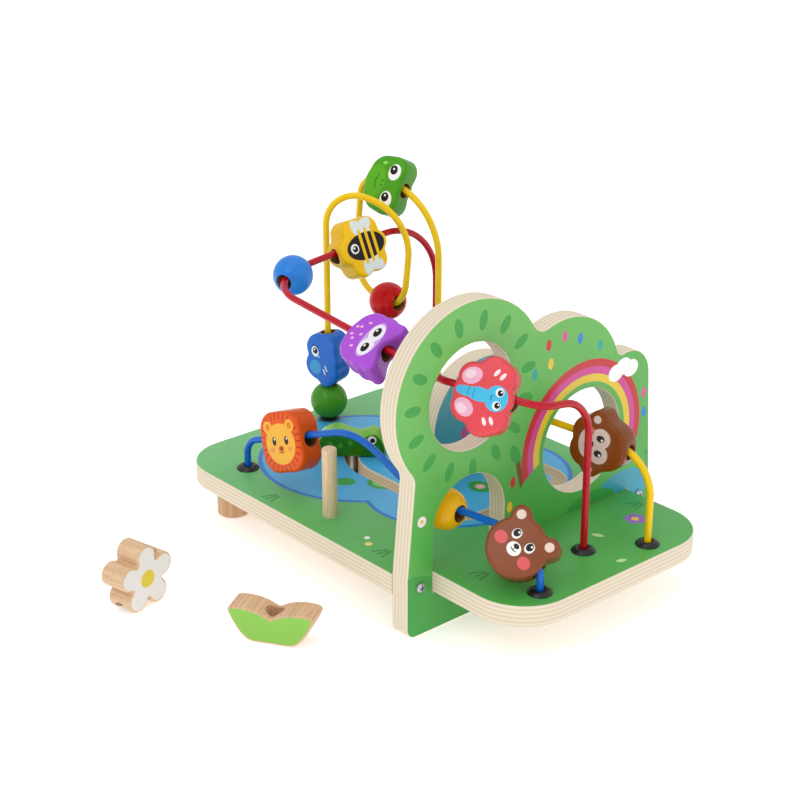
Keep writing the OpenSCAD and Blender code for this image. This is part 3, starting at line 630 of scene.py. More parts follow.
def deck_loops():
    """The board's outline and its track, both seen from above."""
    wide, narrow, r = BOARD_HALF_W, TONGUE_HALF_W, CORNER_R
    front, rear = FRONT_X - r, REAR_X + r
    outer = chain([
        [(-PLY_HALF, -wide), (-PLY_HALF, -narrow)], arc((front, r - narrow), r, -90, 0, 24),
        arc((front, narrow - r), r, 0, 90, 24), [(-PLY_HALF, narrow), (-PLY_HALF, wide)],
        arc((rear, wide - r), r, 90, 180, 24), arc((rear, r - wide), r, 180, 270, 24)])
    line = chain([arc((-108, 18.97), 42, 226, 270, 24), arc((-40, -8.03), 15, 270, 360, 16),
                  arc((-40, 44.97), 15, 0, 90, 16), [(-46, 59.97), (-52, 59.97)]])
    way = np.gradient(line, axis=0)
    way /= np.linalg.norm(way, axis=1, keepdims=True)
    aside = SLOT_HALF * np.stack([way[:, 1], -way[:, 0]], 1)
    slot = chain([line + aside, arc(line[-1], SLOT_HALF, 90, 270, 14)[1:-1], (line - aside)[::-1],
                  arc(line[0], SLOT_HALF, 46, 226, 14)[1:-1]])
    return [dense(outer), dense(slot)[::-1]]


def ring_of(centre, radius, n, size, start=0.0):
    """Places of ovals that point outwards round a circle."""
    turns = start + np.arange(n) * 360.0 / n
    return [(*arc(centre, radius, t, t, 1)[0], *size, t) for t in turns]


RIPPLES = (-164, -22), (-112, -52), (-64, -36), (-58, -8), (-120, 22), (-70, 62), (-150, 18)
TUFTS = (-28, -84), (-120, -88), (24, -62), (22, 60), (-150, 84)
DECK_MARKS = [
    oval("#2F78CC", (-128, -10, 62, 62, 12), (-62, 14, 54, 66)),
    oval("#55B0E2", (-128, -10, 59.5, 59.5, 12), (-62, 14, 51.5, 63.5)),
    bar("#E3F4FC", *[(x, y, x + 7, y + 2.4, 1.1) for x, y in RIPPLES],
     *[(x + 7, y, x + 14, y - 2.4, 1.1) for x, y in RIPPLES]),
    oval("#3E9E48", (-92, -26, 9, 7, 20), (-52, 14, 8, 6.4, -10), (-108, -40, 6, 5, 40)),
    oval("#7FCB6A", (-92, -26, 6, 4, 20)), oval("#F3A9C9", (-52, 14, 3, 3)),
    oval("#F6E27A", (-52, 14, 1.2, 1.2), (-40, -80, 2, 2)), oval("#FFFFFF", (-46, -76, 1.6, 1.6)),
    bar("#2F8A3B", *[(x + d, y, x + d * 0.4 + 1, y + 7, 1.3) for x, y in TUFTS for d in (-4, 0, 4)]),
    oval("#BFE6A8", (34, 20, 3.4, 1.7, 25), (22, -20, 3.4, 1.7, -20), (62, 8, 3, 1.5, 70)),
    oval("#9B6BC7", *ring_of((34, 50), 4, 5, (2.6, 2.6))), oval("#F2D04A", (34, 50, 2.2, 2.2))]
GRASS = (1.0, 0.0, -190.0, 40.0, "#72BE76", "#53AC52")
DECK = board_material("deck_print", ((0, 0, DECK_MID), X, Y, Z), GRASS, DECK_MARKS, bare_under=True)
add_piece("deck_board_plate", plate(deck_loops(), DECK_LOW, DECK_TOP, PLY_EDGE), DECK, "frame", "deck_board",
          slot="deck_paint")

# Upright boards, in Y across and Z up

BIG, MID, SMALL, LOW_WINDOW = (-49.011, 126.0), (19.53, 108.5), (70.0, 102.5), (34.968, 77.0)
BIG_R, MID_R, SMALL_R = 52, 43.5, 18
HIGH_DIP_R, LOW_DIP_R, WAIST_R, TOE_R = 9, 4.5, 10, 6
HIGH_WINDOW_R, LOW_WINDOW_R = 29, 30
DOOR, DOOR_R, WAIST_Y = (-49.5, 56.5), 25.5, -98.0
HILL_X, HILL_Y, HILL_Z, HILL_R = -74, 32.55, 65.5, 40


def dip(a, ra, b, rb, r):
    """Middle of the circle of radius r that touches two lobes from above."""
    a, b = np.array(a), np.array(b)
    d = np.linalg.norm(b - a)
    e = (b - a) / d
    along = (d * d + (ra + r) ** 2 - (rb + r) ** 2) / (2 * d)
    return a + along * e + math.sqrt((ra + r) ** 2 - along**2) * np.array([-e[1], e[0]])


def panel_loops():
    """The panel's outline, windows, and door with the tongue's slot."""
    c1, c2 = dip(BIG, BIG_R, MID, MID_R, HIGH_DIP_R), dip(MID, MID_R, SMALL, SMALL_R, LOW_DIP_R)
    waist = np.array([WAIST_Y, BIG[1] - math.sqrt((BIG_R + WAIST_R) ** 2 - (BIG[0] - WAIST_Y) ** 2)])
    wide, narrow, toe = BOARD_HALF_W, TONGUE_HALF_W, BOARD_HALF_W - TOE_R
    outer = chain([
        arc((toe, TOE_R), TOE_R, -90, 0, 10), [(wide, DECK_TOP)],
        arc(SMALL, SMALL_R, 0, bearing(SMALL, c2), 16),
        arc(c2, LOW_DIP_R, bearing(c2, SMALL), bearing(c2, MID), 10)[1:-1],
        arc(MID, MID_R, bearing(MID, c2), bearing(MID, c1), 30),
        arc(c1, HIGH_DIP_R, bearing(c1, MID), bearing(c1, BIG), 12)[1:-1],
        arc(BIG, BIG_R, bearing(BIG, c1), bearing(BIG, waist) % 360, 60),
        arc(waist, WAIST_R, bearing(waist, BIG), 0, 10)[1:],
        [(-wide, DECK_TOP)], arc((-toe, TOE_R), TOE_R, 180, 270, 10)])
    door = chain([[(-narrow, DECK_LOW), (narrow, DECK_LOW), (narrow, DECK_TOP),
                   (DOOR[0] + DOOR_R, DECK_TOP)], arc(DOOR, DOOR_R, 0, 180, 48)])
    windows = arc(BIG, HIGH_WINDOW_R, 360, 3, 120), arc(LOW_WINDOW, LOW_WINDOW_R, 360, 3, 120)
    return [dense(outer, 2.5), *windows, dense(door, 2.5)[::-1]]


def drops(*middles):
    """Places of small upright ovals."""
    return [(*middle, 2, 3.2) for middle in middles]


FOLIAGE = (-1 / 700.0, 1 / 160.0, 0.05, 1.0, "#4BA84A", "#72BA5F")
SLOPE = (0.0, 1.0, 35.0, 105.0, "#3E93B4", "#6FB9D2")
PANEL_MARKS = [
    oval("#3F9E45", (-90, 16, 22, 20), (-64, 8, 24, 16), (84, 30, 20, 26), (-6, 30, 22, 22)),
    oval("#358F3E", (14, 32, 14, 14)), oval("#3F9E45", *ring_of(BIG, 40.5, 15, (5.4, 2.8), 8)),
    bar("#7A4A2A", (-12, 34, -10, 62, 6), (-10, 60, -15, 80, 3.6), (-10, 58, -4, 76, 3.2)),
    oval("#3F9E45", (-17, 84, 6, 3.4, 115)), oval("#2F8A3B", (-3, 80, 5.4, 3, 60)),
    oval("#3F9E45", (-10, 78, 5, 2.8, 95)), ring("#C9393F", (*LOW_WINDOW, 44.5, 4.4)),
    ring("#D4529A", (*LOW_WINDOW, 40.2, 4.4)), ring("#EBCB45", (*LOW_WINDOW, 35.9, 4.4)),
    oval("#56B050", (LOW_WINDOW[0], 46, 54, 34)), oval("#3E9FB8", (70, 36, 22, 12)),
    oval("#3F9E45", (44, 34, 20, 9)),
    oval("#FFFFFF", (60, 110, 6, 5), (66, 112.5, 6, 5), (72, 110, 6, 5)),
    oval("#CC3D42", *drops((6, 140), (-18, 68))), oval("#D8609A", *drops((18, 142), (84, 92))),
    oval("#3E86CC", *drops((30, 138), (85, 80))), oval("#2FA39B", *drops((-4, 126), (46, 130))),
    oval("#EFC945", *drops((8, 129), (-20, 54))), oval("#F6E9EF", (-83, 66, 3, 3)),
    oval("#EFC945", (-83, 66, 1.2, 1.2))]
HILL_MARKS = [
    oval("#57A868", (20, 40, 30, 16)), oval("#6BBF6A", (52, 42, 26, 18)),
    oval("#F2F6F2", (34, 84, 8, 4.5), (41, 86, 6, 4.5)), oval("#E0568C", (16, 62, 2.4, 3.4)),
    oval("#EFC945", (48, 68, 2.4, 3.4))]
hill_loop = chain([[(HILL_Y - HILL_R, DECK_TOP), (HILL_Y + HILL_R, DECK_TOP)],
                   arc((HILL_Y, HILL_Z), HILL_R, 0, 180, 80)])
for kind, node, x, loops, ground, marks in (
        ("panel", "tree_panel", 0, panel_loops(), FOLIAGE, PANEL_MARKS),
        ("hill", "hill_panel", HILL_X, [dense(hill_loop)], SLOPE, HILL_MARKS)):
    axes = ((x, 0, 0), Y, Z, X)
    add_piece(f"{node}_plate", placed(plate(loops, -PLY_HALF, PLY_HALF, PLY_EDGE), *axes),
              board_material(f"{kind}_print", axes, ground, marks), "frame", node, slot=f"{kind}_paint")

# Dowels, grommets and screws

SOCKET_Z = 25.5  # foot of the peg and of each wire, inside the board
FOOT_R, PEG_R = 9.5, 4.2
FOOT_X, FOOT_Y, SCREW_Y = -176, 71.0, 84.0
PEG_AT = (-79.968, -73.935, 0)
FEET = {"tall_near": (-186.004, 11.532), "tall_far": (-134.064, 55.428), "long_far": (-154.056, 71.517),
        "long_near": (41.165, 1.05), "low_rear": (-159.936, -70.959), "low_front": (58.0, -48.975),
        "short_front": (58.52, 32.475), "short_rear": (-13.798, 14.694)}


def dowel(r, low, high, edge=0.9):
    """Profile of a dowel with rounded ends."""
    q = np.linspace(0, np.pi / 2, 6)
    foot = np.stack([r - edge + edge * np.sin(q), low + edge - edge * np.cos(q)], 1)
    head = np.stack([r - edge + edge * np.cos(q), high - edge + edge * np.sin(q)], 1)
    return chain([[(0, low)], foot, head, [(0, high)]])


def drill(r, low, high, origin, axis, sides=40):
    """A round cutter along an axis."""
    return turned([(0, low), (r, low), (r, high), (0, high)], origin, axis, sides)


def screw_head(at):
    """A pan head on its shank, along X, and the two cutters of its cross."""
    head = turned([(0, -16), (1.4, -15), (1.5, 0), (2.8, 0), (2.8, 0.7), (2.5, 1.3), (1.9, 1.65), (1.0, 1.78),
                   (0, 1.8)], at, X, 40)
    flat = dense(np.array([(-1.7, -0.42), (1.7, -0.42), (1.7, 0.42), (-1.7, 0.42)]), 0.4)
    blade = plate([flat], 0.7, 3.0, 0.05, 1)
    return head, [placed(blade, at, side, np.cross(X, side), X) for side in (Y, Z)]


for node, y in (("near_foot", -FOOT_Y), ("far_foot", FOOT_Y)):
    at = (FOOT_X, y, 0)
    bored = chain([[(0, 12.3), (3.0, 12.3), (3.0, 0)], dowel(FOOT_R, 0, DECK_LOW)[1:]])
    beech = wood_material(f"{node}_beech", (at, Z, X, Y), "#D3AE88", "#AE835E")
    add_piece(f"{node}_dowel", turned(bored, at, Z, 64), beech, "frame", node, slot="beech")
add_piece("peg_dowel", turned(dowel(PEG_R, SOCKET_Z, 75.5, 1.2), PEG_AT, Z, 48),
          wood_material("peg_beech", (PEG_AT, Z, X, Y)), "frame", "stacking_peg", slot="beech")

q = np.linspace(0, 1, 9)
dome = np.stack([6.7 - 3.3 * q, 34.95 + 1.95 * np.sin(q * np.pi / 2)], 1)
GROMMET = chain([[(2.15, 26.0), (4.0, 26.0), (4.0, DECK_TOP), (6.45, DECK_TOP), (6.65, 34.65)], dome,
                 [(3.1, 36.8), (2.5, 36.3), (2.15, 35.6)]])
for foot, at in FEET.items():
    add_piece(f"{foot}_grommet_ring", turned(GROMMET, (*at, 0), Z, 48, True), BLACK, "frame",
              f"{foot}_grommet", slot="grommet")

heads, crosses = zip(*[screw_head((PLY_HALF, y, DECK_MID)) for y in (-SCREW_Y, SCREW_Y)])
add_piece("panel_screw_heads", joined(*heads), STEEL, "frame", "panel_screws", cuts=sum(crosses, []),
          slot="steel")

# Wires


def standing(start, rise, between, fall, end):
    """Corners of a wire: up from its first foot, past the corners between, and down to its other foot."""
    a, b = FEET[start], FEET[end]
    return [(*a, SOCKET_Z), (*a, rise), *between, (*b, fall), (*b, SOCKET_Z)]


WIRES = {  # corners, radius of each bend, and slot
    "tall_wire": (standing("tall_near", 186.044, [
        (-143.117, 42.435, 169.78), (-147.532, 38.704, 104.42), (-195.299, 41.073, 118.404),
        (-191.455, 44.321, 183.46)], 182.7, "tall_far"),
        [19, 34.048, 17.936, 22.04, 12.16, 41.952], "yellow_enamel"),
    "long_wire": (standing("long_far", 163, [
        (-154.056, -60.031, 148.48), (-2.04, -61.481, 135.86), (44.025, -37.121, 128.9)],
        121.505, "long_near"),
        [38.036, 29.94, 11.95, 14.007, 24.415], "red_enamel"),
    "low_wire": (standing("low_rear", 52, [
        (-71.89, -62.078, 85), (-25.905, -57.439, 62), (34.681, -51.327, 63.5)], 48, "low_front"),
        [12, 40, 35, 24, 9], "blue_enamel"),
    "short_wire": (standing("short_front", 86.003, [], 91.998, "short_rear"),
                   [26.16, 9.265], "yellow_enamel"),
}
ENAMEL = {slot: enamel_material(slot, colour) for slot, colour in (
    ("yellow_enamel", "#F4C91E"), ("red_enamel", "#B80A20"), ("blue_enamel", "#3A70C8"))}
for node, (corners, radii, slot) in WIRES.items():
    add_piece(f"{node}_rod", tube(*wire_path(corners, radii), WIRE_R), ENAMEL[slot], "frame", node, slot=slot)

# Beads: each one hangs on its wire, as in the CAD

PLAY = BORE_R - WIRE_R - RUN_GAP
BALL_R, BALL_REST = 11.5, 46.775
BALL_HALF = math.sqrt(BALL_R**2 - BORE_R**2)
TO_PEG_SIDE = (0, -1, 0)


def square_to(v, along):
    """Unit vector of the part of v that is square to a direction."""
    v = np.array(v, float)
    return unit(v - (v @ along) * along)


def facing(centre, along, look):
    """A bead's frame: its middle, its bore's direction, the side, and the way its face looks."""
    ez = square_to(look, along)
    return np.array(centre, float), along, np.cross(ez, along), ez


def on_run(wire, i, share, look):
    """Frame of a bead at a share of the straight run after corner i."""
    first, last, way = wire_runs(wire)[i]
    return facing(first + share * (last - first) + PLAY * square_to(-Z, way), way, look)


def on_bend(wire, i, share, half, look):
    """Frame of a bead at a share of the bend at corner i. The bend rises in a bore of this half length, and
    half of the rise moves the bead inwards."""
    runs, r = wire_runs(wire), WIRES[wire][1][i - 1]
    (_, start, a), (_, _, b) = runs[i - 1], runs[i]
    inward = square_to(b, a)
    turn = share * math.acos(a @ b)
    along = a * math.cos(turn) + inward * math.sin(turn)
    now = inward * math.cos(turn) - a * math.sin(turn)
    chord = math.sqrt(r * r - half * half)
    rise = r - chord + WIRE_R * (r / chord - 1)
    at = start + r * (inward - now) + now * rise / 2 + square_to(-Z, along) * (PLAY - rise / 2)
    return facing(at, along, look)


BALLS = {  # frame, colour and slot
    "green_ball": (facing((*FEET["tall_near"], BALL_REST), Z, TO_PEG_SIDE), "#4C9628", "green_ball"),
    "crimson_ball": (facing((*FEET["long_far"], BALL_REST), Z, TO_PEG_SIDE), "#CC0C16", "red_ball"),
    "red_ball": (on_bend("tall_wire", 3, 0.78, BALL_HALF, TO_PEG_SIDE), "#CC0C16", "red_ball"),
    "blue_ball": (on_bend("long_wire", 2, 0.24, BALL_HALF, TO_PEG_SIDE), "#3F86DC", "blue_ball"),
    "yellow_ball": (on_run("low_wire", 3, 0.25, TO_PEG_SIDE), "#F6BE20", "yellow_ball"),
}
t = np.linspace(-1, 1, 41) * math.acos((BORE_R + 0.7) / BALL_R)
top = BALL_R * math.sin(t[-1])
mouth = [(BORE_R + 0.25, top + 0.1), (BORE_R, top - 0.35), (BORE_R, -top + 0.35), (BORE_R + 0.25, -top - 0.1)]
BALL = chain([np.stack([BALL_R * np.cos(t), BALL_R * np.sin(t)], 1), mouth])
for node, (axes, colour, slot) in BALLS.items():
    add_piece(f"{node}_bead", turned(BALL, axes[0], axes[1], 64, True),
              bead_material(f"{node}_paint", axes, 0, colour), node, node, slot=slot)

# Animal beads

WHITE, INK = "#FBFAF7", "#17130F"
# the side factor darkens a bead's face colour round its side: painted shade, since side and face have the
# same paint
BEAD_HALF, BEAD_EDGE, SIDE_PAINTED_SHADE = 7.5, 2.2, 0.86


def pair(x, y, *sizes):
    """A place and its mirror image from left to right."""
    return (-x, y, *sizes), (x, y, *sizes)


def stacked(x, y, *sizes):
    """A place and its mirror image from top to bottom, where an oval's tilt changes sign."""
    return (x, y, *sizes), (x, -y, *sizes[:2], *[-tilt for tilt in sizes[2:]])


def grown(marks, k):
    """The same marks, k times as large about the face's middle. An oval's tilt stays as it is."""
    n = {"oval": 4, "bar": 5}
    return [(kind, paint, *[(*[v * k for v in place[:n[kind]]], *place[n[kind]:]) for place in places])
            for kind, paint, *places in marks]


def add_bead(name, axes, size, colour, soft, lobes, marks, notch=None, grow=1.0, turn=0.0):
    """A lobed block with a print, its side in the face colour darkened as painted shade. The lobes and the
    notch are in shares of its size.
    """
    cut = None if notch is None else np.multiply(notch, size)
    loop = polar([np.multiply(lobe, size) for lobe in lobes], cut, soft)
    # the side: the face colour darkened by the side factor, as painted shade
    side = (*np.array(rgb(colour)[:3]) * SIDE_PAINTED_SHADE, 1.0)
    paint = bead_material(f"{name}_paint", axes, BEAD_HALF, side, colour, grown(marks, grow), turn)
    block = placed(plate([loop], -BEAD_HALF, BEAD_HALF, BEAD_EDGE), *axes)
    hole = drill(BORE_R, -size, size, axes[0], axes[1])
    add_piece(f"{name}_bead_block", block, paint, name, f"{name}_bead", cuts=[hole], slot=name)


MANE = arc((0, 0), 1, 0, 360, 27)[:-1]
add_bead(
    "lion", on_run("low_wire", 1, 0.44, (0, -1, 0.12)), size=36, colour="#E8602C", soft=6.0, grow=1.09,
    lobes=[(0, 0, .49), *pair(.19, .19, .3), *pair(.19, -.19, .3)],
    marks=[
        bar("#B23818", *[(12.6 * x, 12.6 * y, 15.6 * x, 15.6 * y, 0.8) for x, y in MANE]),
        oval("#F6B94C", (0, -0.8, 11.4, 10.8), *pair(8.6, 8.2, 3.4, 3.4)),
        oval("#E8852F", *pair(8.6, 8.4, 1.7, 1.7)), oval(INK, *pair(4.8, 0.8, 1.5, 2.3)),
        oval(WHITE, (-4.4, 1.8, 0.6, 0.6), (5.2, 1.8, 0.6, 0.6)),
        oval("#EE9A5B", *pair(7, -3.6, 1.9, 1.4)), oval("#B4472A", (0, -3.2, 1.9, 1.3)),
        bar("#8A3A1C", (0, -3.4, 0, -5.4, 0.5), *pair(2.1, -4.8, 0, -5.4, 0.5))])
add_bead(
    "frog", on_bend("tall_wire", 6, 0.07, 12.96, (0.2, -0.9, 0.4)), size=36, colour="#509F24", soft=7.0,
    lobes=[(-.06, 0, .33), *stacked(-.04, .16, .31), *stacked(.12, .27, .23), (.1, 0, .24)],
    marks=[
        oval("#60B02E", (-6, 0, 7, 10)), oval(WHITE, *stacked(5.4, 8.4, 4.2, 5, -15)),
        oval(INK, (4.4, 9.6, 2.6, 2.8), (4.4, -7.2, 2.6, 2.8)),
        oval(WHITE, (4.2, 10.2, 0.7, 0.7), (4.2, -6.2, 0.7, 0.7)),
        oval("#2C6414", *stacked(-1, 1.4, 0.5, 0.7)),
        bar("#2C6414", (-4.6, -4, -6, 0, 0.6), (-6, 0, -4.6, 4, 0.6)),
        # painted highlight: a pale green oval near the head's rim
        oval("#9BD96C", (-3, 12, 1.6, 0.9, 30))])
add_bead(
    "bee", on_run("long_wire", 1, 0.33, (0.85, 0, 0.35)), size=35, colour="#F5C11C", soft=5.0, grow=1.16,
    lobes=[(0, 0, .34), (.29, 0, .24), (-.32, 0, .17), *stacked(.13, .28, .22), *stacked(-.17, .26, .22)],
    marks=[
        oval("#DFE6E4", *stacked(-3.4, -9.6, 5.6, 3.6, 60), *stacked(2, -10.2, 4.6, 3, 100)),
        oval(INK, (-0.4, 0, 11.8, 6.8)),
        bar("#F5C11C", *[(x, -8, x + 0.6, 8, 1.8) for x in (1.2, -2.8, -6.8)]),
        oval(WHITE, (6.6, -0.4, 2.5, 2.5)), oval(INK, (6.4, -0.3, 1.7, 1.7)),
        oval(WHITE, (6.9, -0.9, 0.6, 0.6))])
add_bead(
    "owl", on_run("long_wire", 2, 0.57, (0, -0.6, 0.8)), size=34, colour="#B05AD6", soft=4.5,
    lobes=[(-.04, 0, .44), *stacked(.12, .23, .26), *stacked(-.12, .14, .33), *stacked(.37, .36, .12)],
    notch=(.54, 0, .24),
    marks=[
        oval("#CDA6E4", (2.4, 0, 5.6, 11.4)), oval("#F1EAF8", *stacked(2.4, 4.6, 4.6, 5.6)),
        oval(INK, *stacked(2.4, 5.2, 2.2, 3)),
        oval(WHITE, (1.4, 6, 0.6, 0.7), (1.4, -4.4, 0.6, 0.7)),
        oval("#F2B4E2", *[(-6 - 3.2 * (k % 2), -8 + 4 * k, 1.1, 0.8, 20) for k in range(5)],
         *[(-11.6, y, 1.1, 0.8, 20) for y in (-2, 3)])])
add_bead(
    "bird", facing((*FEET["tall_near"], 75.158), Z, (0.24, -0.97, 0)), size=35, colour="#3C78D6", soft=4.5,
    lobes=[(.2, .07, .27), (.28, -.1, .22), (.02, -.06, .29), (-.12, .09, .27), (-.2, -.1, .24),
           (-.34, -.06, .16)],
    marks=[
        oval("#4FA8E0", (-5, 4.4, 4.6, 4.2)), oval(WHITE, (5.2, 4.4, 3.4, 2.6, 10)),
        oval(INK, (5.8, 4.2, 2, 1.8)), oval(WHITE, (6.4, 4.8, 0.6, 0.6)),
        bar("#1F4E9C", (9.6, 6.4, 8.4, 1.6, 0.9)),
        bar(WHITE, (-3, -3, -6, -4.4, 0.8), (-5.6, -1.8, -8.4, -3, 0.8)),
        oval("#CFE4F6", (2.2, 1.6, 0.6, 0.6))])
add_bead(
    "butterfly", on_run("long_wire", 3, 0.5, (0.65, -0.65, 0.4)), size=38, colour="#E65A62", soft=4.5,
    lobes=[(0, 0, .2), (.25, 0, .17), (-.23, 0, .2), *stacked(.16, .27, .22), *stacked(.04, .36, .19),
           *stacked(-.2, .2, .21)],
    marks=[
        oval("#F4B6CF", *stacked(-8, 8.2, 5.4, 4.2, 30)),
        oval("#F9D6E4", *stacked(-9, 8.8, 3, 2.2, 30)),
        oval("#FBE6EC", *stacked(4, 12.6, 2.2, 1, 60), *stacked(7.4, 11.4, 2.2, 1, 60)),
        oval("#58C0EA", (-9, 0, 5.6, 2.6), (-2, 0, 7, 3.6), (7, 0, 6, 6.6)),
        bar("#3A9CCB", (-8, -1.8, -8, 1.8, 0.6), (-5, -2.4, -5, 2.4, 0.6)),
        oval(WHITE, *stacked(8, 3.4, 2.2, 2.3)), oval(INK, *stacked(8.4, 3.2, 1.5, 1.6)),
        oval(WHITE, (8.9, 3.7, 0.5, 0.5), (8.9, -2.7, 0.5, 0.5)),
        bar("#1C5E86", (4.6, -1.2, 4, 0, 0.5), (4, 0, 4.6, 1.2, 0.5))])
add_bead(
    "bear", on_run("low_wire", 4, 0.32, (0.45, -0.62, 0.62)), size=33, colour="#8A4E32", soft=3.5,
    lobes=[(0, -.03, .49), *pair(.34, .35, .17), *pair(.1, -.05, .4)],
    marks=[
        oval("#EBD5C6", *pair(11.2, 11.6, 2.5, 2.5)), oval("#E0686A", *pair(9, -3.6, 3.6, 3.2)),
        oval(WHITE, (0, -2.6, 3.9, 3.6)), oval(INK, (0, -0.8, 1.7, 1.2)),
        oval(WHITE, *pair(5, 3.6, 2.5, 2.9)), oval(INK, (-5.2, 4, 1.9, 2.2), (4.8, 4, 1.9, 2.2)),
        oval(WHITE, (-4.6, 4.9, 0.6, 0.6), (5.4, 4.9, 0.6, 0.6)),
        bar(INK, (0, -1.6, 0, -3.6, 0.45), *pair(1.7, -3.0, 0, -3.6, 0.45))])
add_bead(
    "monkey", on_run("short_wire", 1, 0.14, (0.2, -0.95, 0.15)), size=32, colour="#844518", soft=4.0, turn=90,
    lobes=[(0, 0, .46), *stacked(.06, .42, .17), (-.12, 0, .42), *stacked(.2, .15, .3)],
    marks=[
        oval("#DDC6C0", *pair(4.4, 2, 5.4, 5.6), (0, -5, 8.4, 5.6), *pair(14, -2, 2.2, 2.2)),
        oval(INK, *pair(4.2, 1.8, 1.9, 2.4)),
        oval(WHITE, (-3.6, 2.8, 0.7, 0.7), (4.8, 2.8, 0.7, 0.7)),
        oval("#DE8080", *pair(7, -4, 2, 1.6)), oval("#5A2E14", (0, -2.6, 1.7, 1.1)),
        bar("#5A2E14", *pair(2.4, -6, 0, -7, 0.5))])

# Crocodile

CROC_TURN, CROC_HALF_L = math.radians(46), 21
croc_way = np.array([math.cos(CROC_TURN), math.sin(CROC_TURN), 0])
croc_axes = ((-137.172, -11.24, 34.8), croc_way, Z, np.cross(croc_way, Z))
CROC_MARKS = [
    oval(WHITE, (13, 11, 2.6, 2.6)), oval(INK, (13.3, 10.8, 1.5, 1.5)),
    bar("#1E5A10", (14, 4, 20, 5, 0.7), (8, 3.4, 14, 4, 0.7)),
    oval("#4E9A2C", (-6, 7, 1.6, 1.6), (0, 9, 1.6, 1.6), (-12, 8, 1.6, 1.6))]


def croc_loop():
    """Flat foot and a waving back: two soft bumps on a level, and rounded ends."""
    x = -CROC_HALF_L * np.cos(np.linspace(0.0, np.pi, 160))
    level = 12.4 + 4.0 * np.exp(-((x + 8.5) / 7.5) ** 2) + 3.0 * np.exp(-((x - 14) / 4.2) ** 2)
    back = np.stack([x, level * (1 - abs(x / CROC_HALF_L) ** 9) ** 0.45], 1)[::-1]
    return eased(chain([[(-20.6, 0.0), (20.6, 0.0)], back[2:-2]]), 0.8, 1.8)


CROC = bead_material("crocodile_paint", croc_axes, BEAD_HALF, "#7CBA45", "#2D7A14", CROC_MARKS, bore=0.0)
add_piece("crocodile_block", placed(plate([croc_loop()], -BEAD_HALF, BEAD_HALF, 1.6), *croc_axes), CROC,
          "crocodile", "crocodile", cuts=[drill(2.8, -2, 9.3, croc_axes[0], Z, 32)], slot="crocodile")

# Loose pieces for the peg

LOOSE_HALF, COAT_RIM, PEG_BORE_R = 8.0, 1.1, 5
PETAL_OUT, PETAL_R = 12.7, 6.8


def painted_faces(loop, axes):
    """Two thin coats of paint, one on each face of a block, that stop a rim's width inside its outline."""
    inner = loop - COAT_RIM * outward(loop)
    low, high = LOOSE_HALF - 0.2, LOOSE_HALF + 0.06
    return joined(*[placed(plate([inner], *ends, 0.05, 1), *axes) for ends in ((low, high), (-high, -low))])


def leaf_outline():
    """Half a leaf, mirrored: a bowed side from foot to tip, a round tip, and a bowed top to the notch."""
    t = np.linspace(0, 1, 30)[:, None]

    def bow(start, pull, end):
        return (1 - t) ** 2 * start + 2 * t * (1 - t) * np.array(pull) + t**2 * end

    foot, tip, peak, notch = np.array([(10, 0.0), (24.3, 17.6), (16.5, 19.4), (0, 14.4)])
    half = chain([bow(foot, (17.5, 0.6), tip), bow(tip, (22.2, 19.6), peak)[1:],
                  bow(peak, (6.5, 19.2), notch)[1:]])
    return eased(chain([half, (half * (-1, 1))[::-1][1:]]), 0.6, 1.1)


def add_loose(name, loop, axes, bore_low, wood, coat):
    """A wooden block with its grain from face to face, a bore for the peg, and paint on both faces."""
    at, ex, ey, ez = axes
    add_piece(f"{name}_block", placed(plate([loop], -LOOSE_HALF, LOOSE_HALF, 1.0), *axes),
              wood_material(f"{name}_wood", (at, ez, ex, ey), *wood), name, f"{name}_piece",
              cuts=[drill(PEG_BORE_R, bore_low, 30, at, ey)], slot=name)
    paint = coat_material(f"{name}_coat", axes, *coat)
    add_piece(f"{name}_face_coat", painted_faces(loop, axes), paint, name, slot=name)


lean, veer, turn = np.radians((36, 12, 32))
along = np.array([-math.sin(veer), math.cos(veer), 0])
flower_axes = ((-120.736, -175.305, PETAL_OUT * math.cos(lean) + PETAL_R),
               along * math.cos(lean) - Z * math.sin(lean), along * math.sin(lean) + Z * math.cos(lean),
               (math.cos(veer), math.sin(veer), 0))
petals = [(x, y, PETAL_R) for x, y in arc((0, 0), PETAL_OUT, -90, 198, 5)]
add_loose("flower", polar([(0, 0, 11.7), *petals]), flower_axes, -30, ("#DFBD97", "#C39A70"),
          ("#E4E0DC", [oval("#DCC42E", (0, 0, 5.0, 5.0))]))
leaf_axes = ((-42.336, -141.825, 0), (math.cos(turn), math.sin(turn), 0), Z,
             (math.sin(turn), -math.cos(turn), 0))
add_loose("leaf", leaf_outline(), leaf_axes, -5, ("#DDB992", "#B98C62"), ("#8CC552",))

# Hidden fittings keep their CAD shape

for node in ("foot_screws", "hill_screws", "track_pin", "track_washer", "track_screw"):
    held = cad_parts[node].data.materials
    held.clear()
    held.append(BLACK if node == "track_washer" else STEEL)

# Stage, light and camera

FLOOR_HALF, FLOOR_Z = 6000.0, -0.2
CAMERA_AT = Vector((0.6052257, -0.6224508, 0.473518))
CAMERA_YAW, CAMERA_PITCH = 2.4225090431, 0.3989782343


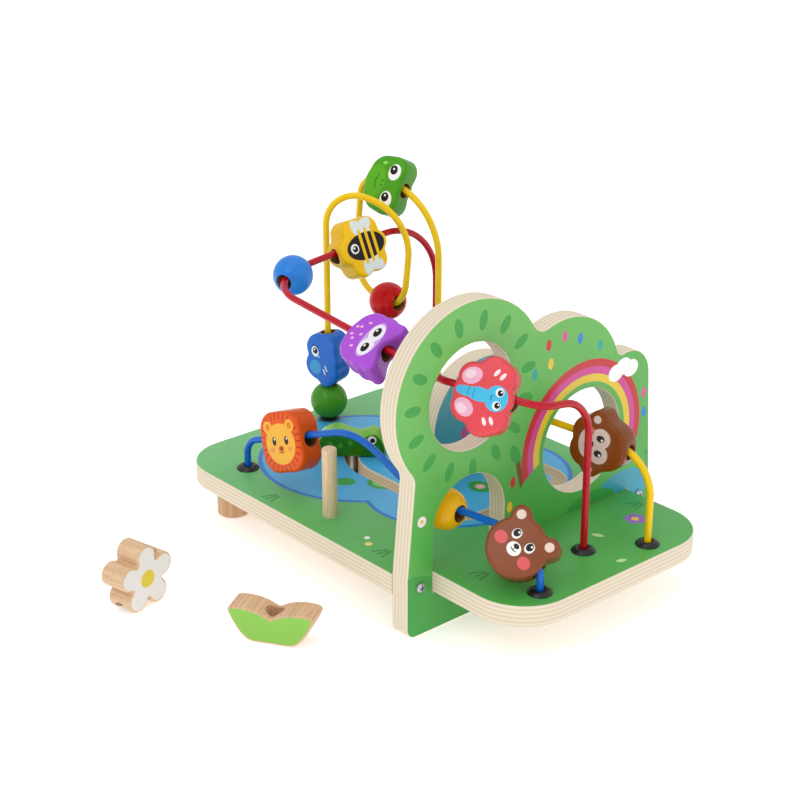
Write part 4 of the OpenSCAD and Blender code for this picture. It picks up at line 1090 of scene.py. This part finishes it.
def stage_floor():
    """A plain pale floor with a faint mottle."""
    corners = [(x * FLOOR_HALF, y * FLOOR_HALF, FLOOR_Z) for x, y in ((-1, -1), (1, -1), (1, 1), (-1, 1))]
    shape = np.array(corners), np.array([[0, 1, 2, 3]]), np.zeros((0, 3), int)
    floor = add_object("studio_floor", new_mesh("studio_floor", shape))
    look = Look("studio_white")
    mottle = look.mix(look.noise(look.point, 0.01, 2.0), "#F4F4F4", "#FAFAFA")
    glow = {"Emission Color": "#FFFFFF", "Emission Strength": 0.4}
    floor.data.materials.append(look.give({"Base Color": mottle, "Roughness": 0.6, **glow}))


def add_light(name, at, aim, size, power):
    data = bpy.data.lights.new(name, "AREA")
    data.shape, data.size, data.energy = "DISK", size, power
    light = add_object(name, data)
    light.location = at
    light.rotation_euler = (Vector(aim) - Vector(at)).to_track_quat("-Z", "Y").to_euler()


stage_floor()
world = bpy.data.worlds.new("studio")
bpy.context.scene.world = world
world.use_nodes = True
back = next(n for n in world.node_tree.nodes if n.type == "BACKGROUND")
back.inputs["Color"].default_value = (1.0, 1.0, 1.0, 1.0)
back.inputs["Strength"].default_value = 0.8
add_light("key_light", (0.2, -1.3, 1.7), (-0.05, 0, 0.08), 1.3, 7.0)
add_light("fill_light", (1.6, 0.3, 1.0), (0, 0, 0.08), 1.4, 3.0)
add_light("top_light", (-0.4, 0.2, 1.9), (-0.05, 0, 0.08), 1.5, 4.0)

level = math.cos(CAMERA_PITCH)
ahead = Vector((level * math.cos(CAMERA_YAW), level * math.sin(CAMERA_YAW), -math.sin(CAMERA_PITCH)))
right = Vector((math.sin(CAMERA_YAW), -math.cos(CAMERA_YAW), 0))
camera = add_object("camera", bpy.data.cameras.new("camera"))
camera.data.lens, camera.data.sensor_width, camera.data.sensor_fit = 79.48, 36.0, "HORIZONTAL"
turned_by = Matrix((right, right.cross(ahead), -ahead)).transposed().to_4x4()
camera.matrix_world = Matrix.Translation(CAMERA_AT) @ turned_by
bpy.context.scene.camera = camera
bpy.context.scene.view_settings.view_transform = "Standard"
